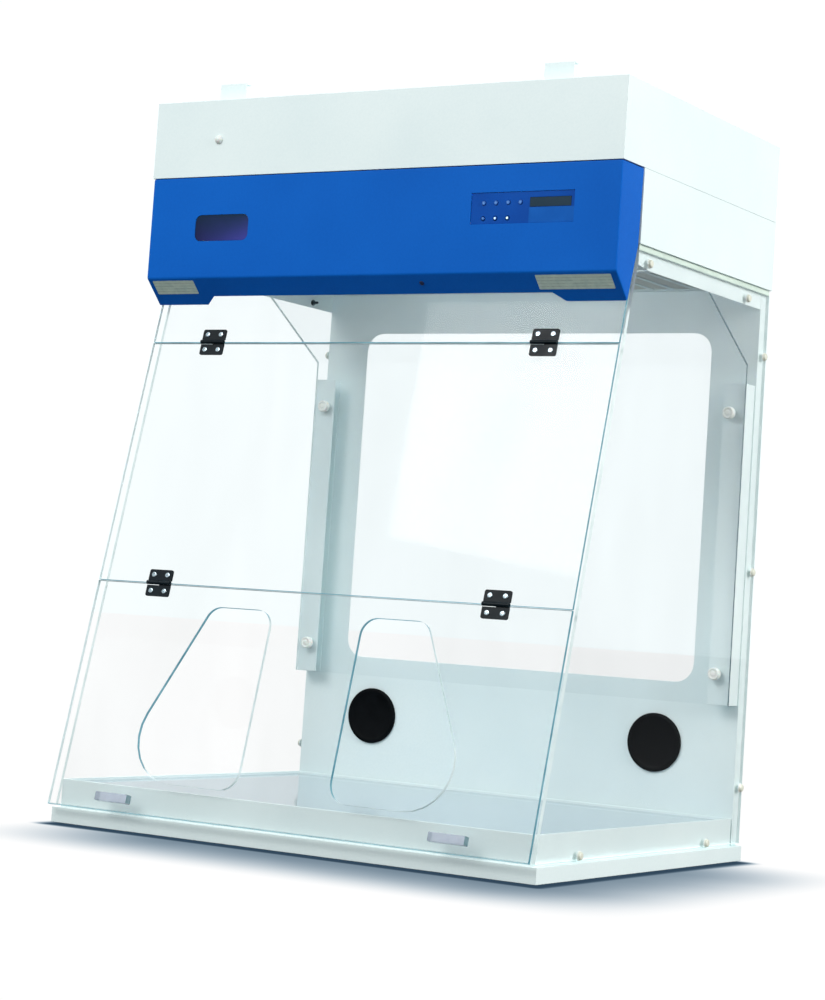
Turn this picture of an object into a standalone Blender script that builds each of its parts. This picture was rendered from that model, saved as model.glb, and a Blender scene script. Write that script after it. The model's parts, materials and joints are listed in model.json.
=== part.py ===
"""Bench-top filtered fume hood: white base and head, clear chamber, folding clear front sash.

Frame: +X to the right seen from the front, +Y to the rear, +Z up, origin under the middle. Metres throughout.
The sizes below measure Y from the middle of the plinth; CENTRING then moves everything to the frame's origin.
"""
import math

import bmesh
import bpy
from mathutils import Matrix, Vector

# ---------------------------------------------------------------- driving sizes
GAP = 0.0003                       # clearance between touching pieces
SHEET = 0.0015                     # painted steel sheet
CLEAR = 0.0050                     # clear panel thickness
CUT = 0.010                        # how far a cutter reaches past the sheet on each side

HALF_W = 0.400                     # half width of the base and the head
BASE_HALF_D = 0.319
FOOT_H = 0.003
FOOT_X = 0.350
FOOT_Y = 0.270
PLINTH_TOP = 0.025
RIM_TOP = 0.0655
RIM_FRONT = -0.311
RIM_REAR = 0.2965
FLOOR_TOP = 0.0615
DECK_TOP = 0.0545                  # top of the base pan's deck, under the work surface
HEAD_BOTTOM = 0.862
HEAD_SPLIT = 0.9675
HEAD_TOP = 1.085
TAB_TOP = 1.1125

HEAD_FRONT = -0.197
HEAD_REAR = 0.3175
LOWER_HEAD_FRONT = -0.133          # front wall of the lower head, behind the blue cover

PANEL_OUT = 0.396                  # outer face of a clear side panel
PANEL_IN = PANEL_OUT - CLEAR
FLANGE_OUT = PANEL_IN - GAP        # outer face of what the side panels are screwed to
FLANGE_IN = FLANGE_OUT - SHEET
PANEL_BOTTOM = 0.0285
PANEL_TOP = 0.854
PANEL_FRONT_LOW = -0.3165
PANEL_FRONT_HIGH = -0.1278
PANEL_KNEE = 0.834                 # height where the slanted front edge turns upright

WALL_FRONT = 0.300                 # front face of the back panel
WALL_REAR = 0.318
WALL_SHEET = 0.0015
WINDOW_HALF_W = 0.3135
WINDOW_LOW = 0.261
WINDOW_HIGH = 0.7955
WINDOW_R = 0.030
PORT_X = 0.2555
PORT_Z = 0.167
PORT_HOLE_R = 0.041
PORT_CAP_R = 0.0445

BAFFLE_Y = 0.265                   # front face of the upright part of the rear baffle
BAFFLE_T = 0.004
BAFFLE_HALF_W = FLANGE_IN - 0.0005
BAFFLE_LOW = 0.232
BAFFLE_FOLD = 0.7415
BAFFLE_TIP = (0.0785, 0.8535)      # y, z of the upper front corner
BRACKET_TOP = 0.7145
BRACKET_W = 0.036
THUMB_X = 0.3665
THUMB_Z = (0.278, 0.669)
THUMB_R = 0.0095
THUMB_H = 0.010
SHANK_R = 0.0025
SHANK_LENGTH = 0.013

TILT = math.radians(13.35)         # front sash, measured from upright
SASH_HALF_W = 0.3955
SASH_FOOT = (-0.3327, 0.0295)      # y, z of the sash's lower edge, at mid thickness
SASH_LOWER_V = 0.335               # lower hinge line, measured up the slope
SASH_UPPER_V = 0.709               # upper hinge line, measured up the slope
SASH_TOP_Z = 0.858
JOINT_HALF = 0.00075               # half the gap at a hinge line
HINGE_X = 0.282
LEAF_HALF_W = 0.021
LEAF_H = 0.020
LEAF_T = 0.002
LEAF_R = 0.003                     # rounded outer corners of a leaf
KNUCKLE_R = 0.003
PIN_R = 0.0014
PIN_PLAY = 0.0001
GRIP_X = 0.2765
GRIP_V = 0.012                     # lower side of a grip, measured up the slope
GRIP_D = 0.012
GRIP_H = 0.0125
GRIP_LENGTH = 0.056
HINGE_W = CLEAR / 2 + GAP + KNUCKLE_R   # hinge axis, measured out from the sash's mid plane

COVER_HALF_W = 0.3985
COVER_SHEET = 0.0015
COVER_FRONT = -0.1965
COVER_TOP = HEAD_SPLIT - 0.0005
COVER_LOW = 0.8145                 # lower edge of the upright front face
COVER_TIP = (-0.160, 0.779)        # y, z of the feet at the two ends
COVER_NOTCH_Z = 0.790
COVER_SIDE_LOW = (-0.1367, 0.8575)
FOOT_INNER_X = 0.3056
NOTCH_X = 0.288

PANEL_X = 0.246                    # control panel centre
PANEL_Z = 0.9055
PANEL_W = 0.163
PANEL_H = 0.044
PANEL_FACE = COVER_FRONT + 0.001
KEY_R = 0.0033
KEY_PITCH = 0.0195
KEY_X0 = 0.1845
KEY_Z = 0.913
LED_Z = 0.891
DISPLAY = (0.258, 0.3225, 0.906, 0.919)      # x low, x high, z low, z high
STATUS = (-0.2655, 0.8895, 0.0965, 0.039)     # centre x, centre z, width, height
STATUS_R = 0.010
LAMP = (-0.184, -0.152, 0.864, 0.886)        # y front, y rear, z low, z high
LAMP_HALF_W = 0.280

INTAKE = (-0.350, 0.350, 0.105, 0.287)       # opening in the head's floor
FAN_Y = 0.190
FAN_R = 0.095
FAN_PLATE_Z = 0.886
INLET_R = 0.078
BLADE_LOW = 0.008                  # heights inside the fan are measured from the fan plate
BLADE_HIGH = 0.046
MOTOR_LOW = 0.0485
MOTOR_TOP = 0.0688
MOTOR_R = 0.044
BRIDGE_HALF_W = 0.112
BRIDGE_HALF_D = 0.016

GRILLE_SLOTS = 18
EXHAUST_SLOTS = 18
SLOT_PITCH = 0.036
GRILLE_BAR = 0.008                 # steel left between two intake slots
EXHAUST_W = 0.010
EXHAUST_FRONT = -0.110
EXHAUST_REAR = 0.250

FLANGE_DROP = 0.031                # how far the head's side flanges reach below its floor
FLANGE_NOSE = (-0.117, -0.081)     # y where the flange's front edge starts and where it reaches full depth

LID_OPENING = (-0.384, 0.384, -0.183, 0.3035)
FILTER_LEDGE = (-0.365, 0.365, -0.160, 0.280)
FILTER_FRAME = (-0.380, 0.380, -0.178, 0.298)
FILTER_BED = (-0.362, 0.362, -0.160, 0.280)
FILTER_H = 0.092
FILTER_RECESS = 0.030
TAB_X = (0.2555, 0.302)            # inner and outer side of a lift tab
TAB_FRONT = -0.1735
TAB_REACH = 0.012

SAMPLE_X = -0.2813
SAMPLE_Z = 1.023
SAMPLE_R = 0.0035
SOCKET_X = -0.300
SOCKET_Z = 0.920
SOCKET_RIM = 0.003
SOCKET_WELL = (0.0130, 0.0090)     # half widths and half heights
SOCKET_BODY = (0.0240, 0.0140)
SOCKET_PLATE = (0.0285, 0.0185)
SOCKET_DEPTH = 0.014

# The frame's origin lies midway between the front of the grips and the rim of the mains inlet.
GRIP_EDGE = 0.001                  # rounding of a grip's edges
GRIP_OUT = CLEAR / 2 + GAP + GRIP_D - GRIP_EDGE
GRIP_FRONT = SASH_FOOT[0] + (GRIP_V + GRIP_EDGE) * math.sin(TILT) - GRIP_OUT * math.cos(TILT) - GRIP_EDGE
MID_Y = (GRIP_FRONT + HEAD_REAR + SOCKET_RIM) / 2

WHITE = (0.86, 0.88, 0.87, 1.0)
BLUE = (0.03, 0.16, 0.55, 1.0)
DARK_BLUE = (0.03, 0.12, 0.42, 1.0)
CLEAR_TINT = (0.80, 0.92, 0.90, 0.30)
BLACK = (0.012, 0.013, 0.014, 1.0)
GREY = (0.55, 0.58, 0.60, 1.0)
STEEL = (0.60, 0.61, 0.62, 1.0)
FOAM_GREEN = (0.45, 0.55, 0.50, 1.0)
FILTER_WHITE = (0.90, 0.91, 0.88, 1.0)
CARBON_GREY = (0.16, 0.17, 0.18, 1.0)
FAN_GREY = (0.10, 0.11, 0.12, 1.0)
LENS_DARK = (0.02, 0.02, 0.03, 1.0)
DISPLAY_DARK = (0.08, 0.10, 0.07, 1.0)
KEY_BLUE = (0.20, 0.38, 0.75, 1.0)
LAMP_PALE = (0.75, 0.90, 0.95, 1.0)
BATTEN_WHITE = (0.92, 0.94, 0.95, 1.0)
BOARD_GREEN = (0.02, 0.25, 0.10, 1.0)


# ---------------------------------------------------------------- scene set-up
for old in list(bpy.data.objects):
    bpy.data.objects.remove(old, do_unlink=True)
PARTS = bpy.data.collections.new("fume_hood")
CUTTERS = bpy.data.collections.new("cutters")
bpy.context.scene.collection.children.link(PARTS)
bpy.context.scene.collection.children.link(CUTTERS)


def frame_from(x_axis, y_axis, z_axis, origin=(0.0, 0.0, 0.0)):
    """Matrix that takes local axes to the three given directions."""
    matrix = Matrix.Identity(4)
    for column, axis in enumerate((x_axis, y_axis, z_axis, origin)):
        for row in range(3):
            matrix[row][column] = axis[row]
    return matrix


X_DIR = Vector((1.0, 0.0, 0.0))
Y_DIR = Vector((0.0, 1.0, 0.0))
Z_DIR = Vector((0.0, 0.0, 1.0))
UP_SLOPE = Vector((0.0, math.sin(TILT), math.cos(TILT)))
OUT_OF_SASH = Vector((0.0, -math.cos(TILT), math.sin(TILT)))

FRONT_VIEW = frame_from(X_DIR, Z_DIR, -Y_DIR)      # outlines drawn in X and Z, depth towards the front
SIDE_VIEW = frame_from(Y_DIR, Z_DIR, X_DIR)        # outlines drawn in Y and Z, depth along X
PLAN_VIEW = Matrix.Identity(4)
CENTRING = Matrix.Translation((0.0, -MID_Y, 0.0))


def sash_point(v, w=0.0):
    """Point at height v up the slope and w out of the sash's mid plane, on the centre line."""
    foot = Vector((0.0, SASH_FOOT[0], SASH_FOOT[1]))
    return foot + v * UP_SLOPE + w * OUT_OF_SASH


def sash_frame(v, w=0.0):
    """Outlines drawn across and up the sash, depth out of it."""
    return frame_from(X_DIR, UP_SLOPE, OUT_OF_SASH, sash_point(v, w))


def hinge_frames(x, v):
    """The hinge axis seen end on (depth along it), and seen from the front (depth out of the sash)."""
    origin = sash_point(v, HINGE_W) + Vector((x, 0.0, 0.0))
    end_on = frame_from(UP_SLOPE, OUT_OF_SASH, X_DIR, origin)
    face_on = frame_from(X_DIR, UP_SLOPE, OUT_OF_SASH, origin)
    return end_on, face_on


# ---------------------------------------------------------------- materials and objects
def material(name, color, metallic=0.0, roughness=0.45):
    mat = bpy.data.materials.new(name)
    mat.use_nodes = True
    shader = mat.node_tree.nodes["Principled BSDF"]
    shader.inputs["Base Color"].default_value = color
    shader.inputs["Metallic"].default_value = metallic
    shader.inputs["Roughness"].default_value = roughness
    shader.inputs["Alpha"].default_value = color[3]
    mat.diffuse_color = color
    return mat


def add_part(name, mesh, color, frame=PLAN_VIEW, metallic=0.0, roughness=0.45, smooth=False):
    """Put a mesh in the part's collection as a named sub-part."""
    part = bpy.data.objects.new(name, mesh)
    part.matrix_world = CENTRING @ frame
    PARTS.objects.link(part)
    mesh.materials.append(material(name, color, metallic, roughness))
    if smooth:
        for face in mesh.polygons:
            face.use_smooth = True
    return part


def add_cutter(name, mesh, frame=PLAN_VIEW):
    cutter = bpy.data.objects.new(name, mesh)
    cutter.matrix_world = CENTRING @ frame
    CUTTERS.objects.link(cutter)
    cutter.hide_render = True
    cutter.display_type = 'WIRE'
    return cutter


def boolean(part, tool, operation='DIFFERENCE'):
    step = part.modifiers.new(tool.name, 'BOOLEAN')
    step.operation = operation
    step.solver = 'EXACT'
    step.object = tool


def bevel(part, width, segments=2, angle=40.0):
    step = part.modifiers.new("edges", 'BEVEL')
    step.width = width
    step.segments = segments
    step.limit_method = 'ANGLE'
    step.angle_limit = math.radians(angle)


def finish_mesh(name, bm):
    bmesh.ops.remove_doubles(bm, verts=bm.verts, dist=1e-6)
    bmesh.ops.recalc_face_normals(bm, faces=bm.faces)
    mesh = bpy.data.meshes.new(name)
    bm.to_mesh(mesh)
    bm.free()
    return mesh


# ---------------------------------------------------------------- mesh builders
def box_mesh(name, x0, x1, y0, y1, z0, z1):
    bm = bmesh.new()
    size = Matrix.Diagonal((x1 - x0, y1 - y0, z1 - z0, 1.0))
    centre = Matrix.Translation(((x0 + x1) / 2, (y0 + y1) / 2, (z0 + z1) / 2))
    bmesh.ops.create_cube(bm, size=1.0, matrix=centre @ size)
    return finish_mesh(name, bm)


def boxes_mesh(name, boxes):
    """Several separate boxes in one mesh, for a cutter that makes a row of slots."""
    bm = bmesh.new()
    for x0, x1, y0, y1, z0, z1 in boxes:
        size = Matrix.Diagonal((x1 - x0, y1 - y0, z1 - z0, 1.0))
        centre = Matrix.Translation(((x0 + x1) / 2, (y0 + y1) / 2, (z0 + z1) / 2))
        bmesh.ops.create_cube(bm, size=1.0, matrix=centre @ size)
    return finish_mesh(name, bm)


def cylinder_mesh(name, radius, depth0, depth1, segments=32, centres=((0.0, 0.0),)):
    """Round bars along local Z, one at each centre."""
    bm = bmesh.new()
    for cx, cy in centres:
        place = Matrix.Translation((cx, cy, (depth0 + depth1) / 2))
        bmesh.ops.create_cone(bm, cap_ends=True, segments=segments, radius1=radius, radius2=radius,
                              depth=depth1 - depth0, matrix=place)
    return finish_mesh(name, bm)


def lofted_mesh(name, rings, closed=False):
    """Skin through rectangles (x0, x1, y0, y1, height); its ends are capped unless it closes on itself."""
    bm = bmesh.new()
    loops = []
    for x0, x1, y0, y1, height in rings:
        corners = ((x0, y0), (x1, y0), (x1, y1), (x0, y1))
        loops.append([bm.verts.new((x, y, height)) for x, y in corners])
    pairs = list(zip(loops, loops[1:]))
    if closed:
        pairs.append((loops[-1], loops[0]))
    else:
        bm.faces.new(loops[0])
        bm.faces.new(loops[-1])
    for lower, upper in pairs:
        for i in range(4):
            j = (i + 1) % 4
            bm.faces.new((lower[i], lower[j], upper[j], upper[i]))
    return finish_mesh(name, bm)


def plate_mesh(name, outline, depth0, depth1, holes=()):
    """Flat outline with holes, drawn as a filled 2D curve and given depth along local Z."""
    curve = bpy.data.curves.new(name, 'CURVE')
    curve.dimensions = '2D'
    curve.fill_mode = 'BOTH'
    curve.extrude = (depth1 - depth0) / 2
    for ring in (outline, *holes):
        spline = curve.splines.new('POLY')
        spline.points.add(len(ring) - 1)
        for point, (x, y) in zip(spline.points, ring):
            point.co = (x, y, 0.0, 1.0)
        spline.use_cyclic_u = True
    holder = bpy.data.objects.new(name, curve)
    CUTTERS.objects.link(holder)
    flat = bpy.data.meshes.new_from_object(holder)
    bpy.data.objects.remove(holder, do_unlink=True)
    bpy.data.curves.remove(curve)
    bm = bmesh.new()
    bm.from_mesh(flat)
    bpy.data.meshes.remove(flat)
    bmesh.ops.translate(bm, verts=bm.verts, vec=(0.0, 0.0, (depth0 + depth1) / 2))
    return finish_mesh(name, bm)


def turned(name, profile, color, frame, steps=32, metallic=0.0, roughness=0.45):
    """Round sub-part: a profile of (radius, height) pairs, top to bottom, turned about local Z."""
    mesh = bpy.data.meshes.new(name)
    verts = [(radius, 0.0, height) for radius, height in profile]
    mesh.from_pydata(verts, [(i, i + 1) for i in range(len(verts) - 1)], [])
    part = add_part(name, mesh, color, frame, metallic, roughness)
    screw = part.modifiers.new("turn", 'SCREW')
    screw.steps = steps
    screw.render_steps = steps
    screw.use_merge_vertices = True
    screw.merge_threshold = 0.00001
    screw.use_smooth_shade = True
    return part


def rectangle(x0, x1, y0, y1):
    return [(x0, y0), (x1, y0), (x1, y1), (x0, y1)]


def circle(cx, cy, radius, segments=32):
    turn = 2 * math.pi / segments
    return [(cx + radius * math.cos(i * turn), cy + radius * math.sin(i * turn)) for i in range(segments)]


def rounded(corners, radii, steps=6):
    """Polygon with each corner replaced by an arc of its own radius."""
    outline = []
    count = len(corners)
    for i, radius in enumerate(radii):
        corner = Vector(corners[i])
        before = (Vector(corners[i - 1]) - corner).normalized()
        after = (Vector(corners[(i + 1) % count]) - corner).normalized()
        half = before.angle(after) / 2
        centre = corner + (before + after).normalized() * (radius / math.sin(half))
        start = corner + before * (radius / math.tan(half)) - centre
        end = corner + after * (radius / math.tan(half)) - centre
        sweep = start.angle_signed(end)
        for step in range(steps + 1):
            swung = start.copy()
            swung.rotate(Matrix.Rotation(-sweep * step / steps, 2))
            outline.append(tuple(centre + swung))
    return outline


def side_name(side):
    return "right" if side > 0 else "left"


# ---------------------------------------------------------------- base
def base_pan():
    """Plinth and raised rim folded from one sheet, open underneath."""
    plinth = (HALF_W, -BASE_HALF_D, BASE_HALF_D)
    rim = (FLANGE_OUT, RIM_FRONT, RIM_REAR)

    def ring(size, inset, height):
        half, front, rear = size
        return (-half + inset, half - inset, front + inset, rear - inset, height)

    rings = [
        ring(rim, SHEET, DECK_TOP),
        ring(rim, SHEET, RIM_TOP),
        ring(rim, 0.0, RIM_TOP),
        ring(rim, 0.0, PLINTH_TOP),
        ring(plinth, 0.0, PLINTH_TOP),
        ring(plinth, 0.0, FOOT_H),
        ring(plinth, SHEET, FOOT_H),
        ring(plinth, SHEET, PLINTH_TOP - SHEET),
        ring(rim, SHEET, PLINTH_TOP - SHEET),
        ring(rim, SHEET, DECK_TOP - SHEET),
    ]
    part = add_part("base_pan", lofted_mesh("base_pan", rings), WHITE)
    bevel(part, SHEET / 2, 2)


def work_surface():
    inset = SHEET + 2 * GAP
    half = FLANGE_OUT - inset
    mesh = box_mesh("work_surface", -half, half, RIM_FRONT + inset, RIM_REAR - inset, DECK_TOP + GAP, FLOOR_TOP)
    bevel(add_part("work_surface", mesh, GREY, roughness=0.15), 0.0012, 2)


def feet():
    """Rubber feet on posts under the deck, standing a little below the plinth's edge."""
    top = DECK_TOP - SHEET - GAP
    post_r, pad_r, pad_h = 0.010, 0.018, 0.010
    profile = [(0.0, top), (post_r, top), (post_r + 0.001, pad_h), (pad_r - 0.001, pad_h - 0.001),
               (pad_r, 0.0008), (pad_r - 0.001, 0.0), (0.0, 0.0)]
    for x_side in (-1, 1):
        for y_side, row in ((-1, "front"), (1, "rear")):
            name = "foot_" + row + "_" + side_name(x_side)
            place = Matrix.Translation((x_side * FOOT_X, y_side * FOOT_Y, 0.0))
            turned(name, profile, BLACK, place, 24, roughness=0.8)


# ---------------------------------------------------------------- chamber walls
def back_panel():
    """Tray-shaped sheet, open to the rear, with the window and two ports cut through."""
    low = PLINTH_TOP + GAP
    high = HEAD_BOTTOM - GAP
    rings = [
        (-FLANGE_OUT, FLANGE_OUT, low, high, -WALL_FRONT),
        (-FLANGE_OUT, FLANGE_OUT, low, high, -WALL_REAR),
        (-FLANGE_OUT + WALL_SHEET, FLANGE_OUT - WALL_SHEET, low + WALL_SHEET, high - WALL_SHEET, -WALL_REAR),
        (-FLANGE_OUT + WALL_SHEET, FLANGE_OUT - WALL_SHEET, low + WALL_SHEET, high - WALL_SHEET,
         -WALL_FRONT - WALL_SHEET),
    ]
    part = add_part("back_panel", lofted_mesh("back_panel", rings), WHITE, FRONT_VIEW)
    corners = rectangle(-WINDOW_HALF_W, WINDOW_HALF_W, WINDOW_LOW, WINDOW_HIGH)
    near, far = -WALL_FRONT - CUT, -WALL_FRONT + CUT
    window = plate_mesh("cut_window", rounded(corners, [WINDOW_R] * 4), near, far)
    boolean(part, add_cutter("cut_window", window, FRONT_VIEW))
    centres = ((-PORT_X, PORT_Z), (PORT_X, PORT_Z))
    ports = cylinder_mesh("cut_ports", PORT_HOLE_R, near, far, 40, centres)
    boolean(part, add_cutter("cut_ports", ports, FRONT_VIEW))


def back_window():
    edge, thick = 0.020, 0.004
    corners = rectangle(-WINDOW_HALF_W - edge, WINDOW_HALF_W + edge, WINDOW_LOW - edge, WINDOW_HIGH + edge)
    near = -WALL_FRONT - WALL_SHEET - GAP
    mesh = plate_mesh("back_window", rounded(corners, [WINDOW_R] * 4, 4), near - thick, near)
    add_part("back_window", mesh, CLEAR_TINT, FRONT_VIEW, roughness=0.05)


def port_plugs():
    """Rubber plugs with a rim in front of the wall and a dished face."""
    front = GAP + 0.0045
    dish, rim_w, depth = 0.0015, 0.0065, 0.011
    for side in (-1, 1):
        profile = [(0.0, dish), (PORT_CAP_R - rim_w - 0.004, dish + 0.0007), (PORT_CAP_R - rim_w, front),
                   (PORT_CAP_R - 0.002, front), (PORT_CAP_R, front - 0.0015), (PORT_CAP_R, GAP),
                   (PORT_HOLE_R - GAP, GAP), (PORT_HOLE_R - GAP, -0.004), (PORT_HOLE_R - 0.002, -depth),
                   (0.0, -depth)]
        place = Matrix.Translation((side * PORT_X, WALL_FRONT, PORT_Z)) @ FRONT_VIEW
        turned("port_plug_" + side_name(side), profile, BLACK, place, 40, roughness=0.6)


def side_panels():
    outline = [(PANEL_FRONT_LOW, PANEL_BOTTOM), (HEAD_REAR, PANEL_BOTTOM), (HEAD_REAR, PANEL_TOP),
               (PANEL_FRONT_HIGH, PANEL_TOP), (PANEL_FRONT_HIGH, PANEL_KNEE)]
    for side in (-1, 1):
        name = "side_panel_" + side_name(side)
        near, far = sorted((side * PANEL_IN, side * PANEL_OUT))
        part = add_part(name, plate_mesh(name, outline, near, far), CLEAR_TINT, SIDE_VIEW, roughness=0.05)
        bevel(part, 0.0004, 1)


def joint_strips():
    """Foam strips between the side panels' top edges and the head."""
    for side in (-1, 1):
        name = "joint_strip_" + side_name(side)
        near, far = sorted((side * PANEL_IN, side * PANEL_OUT))
        mesh = box_mesh(name, near, far, PANEL_FRONT_HIGH, HEAD_REAR, PANEL_TOP + GAP, HEAD_BOTTOM - GAP)
        add_part(name, mesh, FOAM_GREEN, roughness=0.8)


# ---------------------------------------------------------------- rear baffle
def baffle():
    """Clear sheet, upright below and leaning forward above the fold."""
    back = BAFFLE_Y + BAFFLE_T
    fold = Vector((BAFFLE_Y, BAFFLE_FOLD))
    tip = Vector(BAFFLE_TIP)
    lean = (tip - fold).normalized()
    normal = Vector((-lean.y, lean.x)) * -BAFFLE_T
    reach = (back - fold.x - normal.x) / lean.x
    rear_fold = fold + normal + lean * reach
    rear_tip = tip + normal
    outline = [(BAFFLE_Y, BAFFLE_LOW), (back, BAFFLE_LOW), tuple(rear_fold), tuple(rear_tip), tuple(tip),
               tuple(fold)]
    mesh = plate_mesh("baffle", outline, -BAFFLE_HALF_W, BAFFLE_HALF_W)
    part = add_part("baffle", mesh, CLEAR_TINT, SIDE_VIEW, roughness=0.05)
    centres = [(side * THUMB_X, z) for side in (-1, 1) for z in THUMB_Z]
    holes = cylinder_mesh("cut_baffle", SHANK_R + 0.0004, -BAFFLE_Y - CUT, -BAFFLE_Y + CUT, 16, centres)
    boolean(part, add_cutter("cut_baffle", holes, FRONT_VIEW))


def baffle_brackets():
    """Channels standing off the back panel, open towards the middle of the hood."""
    near = BAFFLE_Y + BAFFLE_T + GAP
    far = WALL_FRONT - GAP
    outer = BAFFLE_HALF_W
    inner = outer - BRACKET_W
    foot = inner + 0.010
    for side in (-1, 1):
        name = "baffle_bracket_" + side_name(side)
        outline = [(inner, near), (outer, near), (outer, far), (foot, far), (foot, far - SHEET),
                   (outer - SHEET, far - SHEET), (outer - SHEET, near + SHEET), (inner, near + SHEET)]
        outline = [(side * x, y) for x, y in outline]
        part = add_part(name, plate_mesh(name, outline, BAFFLE_LOW, BRACKET_TOP), WHITE)
        centres = [(side * THUMB_X, z) for z in THUMB_Z]
        holes = cylinder_mesh("cut_" + name, SHANK_R + 0.0004, -near - 0.005, -near + 0.005, 16, centres)
        boolean(part, add_cutter("cut_" + name, holes, FRONT_VIEW))


def thumb_screws():
    """Hand screws through the baffle into the brackets; each turns on its own shank."""
    top = GAP + THUMB_H
    profile = [(0.0, top), (THUMB_R - 0.0025, top), (THUMB_R, top - 0.002), (THUMB_R, GAP + 0.002),
               (THUMB_R - 0.001, GAP), (SHANK_R, GAP), (SHANK_R, 0.001 - SHANK_LENGTH),
               (SHANK_R - 0.0006, -SHANK_LENGTH), (0.0, -SHANK_LENGTH)]
    for side in (-1, 1):
        for level, z in zip(("low", "high"), THUMB_Z):
            place = Matrix.Translation((side * THUMB_X, BAFFLE_Y, z)) @ FRONT_VIEW
            turned("thumb_screw_" + level + "_" + side_name(side), profile, WHITE, place, 20, roughness=0.4)


# ---------------------------------------------------------------- front sash
def sash_top():
    low = SASH_UPPER_V + JOINT_HALF
    high = (SASH_TOP_Z - SASH_FOOT[1]) / math.cos(TILT)
    mesh = plate_mesh("sash_top", rectangle(-SASH_HALF_W, SASH_HALF_W, low, high), -CLEAR / 2, CLEAR / 2)
    bevel(add_part("sash_top", mesh, CLEAR_TINT, sash_frame(0.0), roughness=0.05), 0.0004, 1)


def sash_middle():
    """Origin on the upper hinge axis."""
    low = SASH_LOWER_V + JOINT_HALF - SASH_UPPER_V
    mesh = plate_mesh("sash_middle", rectangle(-SASH_HALF_W, SASH_HALF_W, low, -JOINT_HALF),
                      -CLEAR / 2 - HINGE_W, CLEAR / 2 - HINGE_W)
    frame = sash_frame(SASH_UPPER_V, HINGE_W)
    bevel(add_part("sash_middle", mesh, CLEAR_TINT, frame, roughness=0.05), 0.0004, 1)


def arm_hole(side):
    """D-shaped arm opening, upright towards the middle and slanting out below."""
    low, high = 0.0475, 0.306
    inner, outer_low, outer_high = 0.0755, 0.3000, 0.1795
    corners = [(inner, low), (outer_low, low), (outer_high, high), (inner, high)]
    hole = rounded(corners, [0.030, 0.068, 0.025, 0.025], 8)
    return [(side * x, v - SASH_LOWER_V) for x, v in hole]


def sash_lower():
    """Origin on the lower hinge axis."""
    mesh = plate_mesh("sash_lower", rectangle(-SASH_HALF_W, SASH_HALF_W, -SASH_LOWER_V, -JOINT_HALF),
                      -CLEAR / 2 - HINGE_W, CLEAR / 2 - HINGE_W, [arm_hole(-1), arm_hole(1)])
    frame = sash_frame(SASH_LOWER_V, HINGE_W)
    add_part("sash_lower", mesh, CLEAR_TINT, frame, roughness=0.05)


def knuckle_outline(direction, steps=40):
    """Round knuckle with a tongue, a little thinner than the leaf, that runs into it."""
    inset = 0.00015
    low = -KNUCKLE_R + inset
    high = LEAF_T - KNUCKLE_R - inset
    start = math.asin(low / KNUCKLE_R)
    sweep = math.asin(high / KNUCKLE_R) - 2 * math.pi - start
    turns = [start + sweep * step / steps for step in range(steps + 1)]
    reach = 2.6 * KNUCKLE_R
    barrel = [(KNUCKLE_R * math.cos(a), KNUCKLE_R * math.sin(a)) for a in turns]
    outline = [(reach, low), *barrel, (reach, high)]
    return [(direction * v, w) for v, w in outline]


def hinge_leaf(name, x, v, upper):
    """One leaf with its knuckle; the upper leaf carries the pin, the lower one is bored for it."""
    direction = 1 if upper else -1
    end_on, face_on = hinge_frames(x, v)
    end = LEAF_HALF_W - 0.0002
    own = (-end, -GAP / 2) if upper else (GAP / 2, end)
    bore = [] if upper else [circle(0.0, 0.0, PIN_R + PIN_PLAY, 24)]
    near, far = direction * (KNUCKLE_R + 2 * GAP), direction * LEAF_H
    corners = [(-LEAF_HALF_W, near), (-LEAF_HALF_W, far), (LEAF_HALF_W, far), (LEAF_HALF_W, near)]
    outline = rounded(corners, [LEAF_R / 10, LEAF_R, LEAF_R, LEAF_R / 10], 4)
    leaf = plate_mesh(name, outline, -KNUCKLE_R, LEAF_T - KNUCKLE_R)
    part = add_part(name, leaf, BLACK, face_on, roughness=0.35)
    knuckle = plate_mesh("join_" + name, knuckle_outline(direction), own[0], own[1], bore)
    boolean(part, add_cutter("join_" + name, knuckle, end_on), 'UNION')
    if upper:
        pin = cylinder_mesh("pin_" + name, PIN_R, -end / 2, end, 24)
        boolean(part, add_cutter("pin_" + name, pin, end_on), 'UNION')


def hinges():
    for side in (-1, 1):
        for line, v in (("upper", SASH_UPPER_V), ("lower", SASH_LOWER_V)):
            stem = "hinge_" + line + "_" + side_name(side)
            hinge_leaf(stem + "_top", side * HINGE_X, v, True)
            hinge_leaf(stem + "_bottom", side * HINGE_X, v, False)


def sash_grips():
    """Clear finger grips bonded across the sash's lower edge."""
    for side in (-1, 1):
        name = "sash_grip_" + side_name(side)
        frame = Matrix.Translation((side * GRIP_X, 0.0, 0.0)) @ sash_frame(GRIP_V, CLEAR / 2 + GAP)
        mesh = box_mesh(name, -GRIP_LENGTH / 2, GRIP_LENGTH / 2, 0.0, GRIP_H, 0.0, GRIP_D)
        bevel(add_part(name, mesh, CLEAR_TINT, frame, roughness=0.05), GRIP_EDGE, 2)


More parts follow.
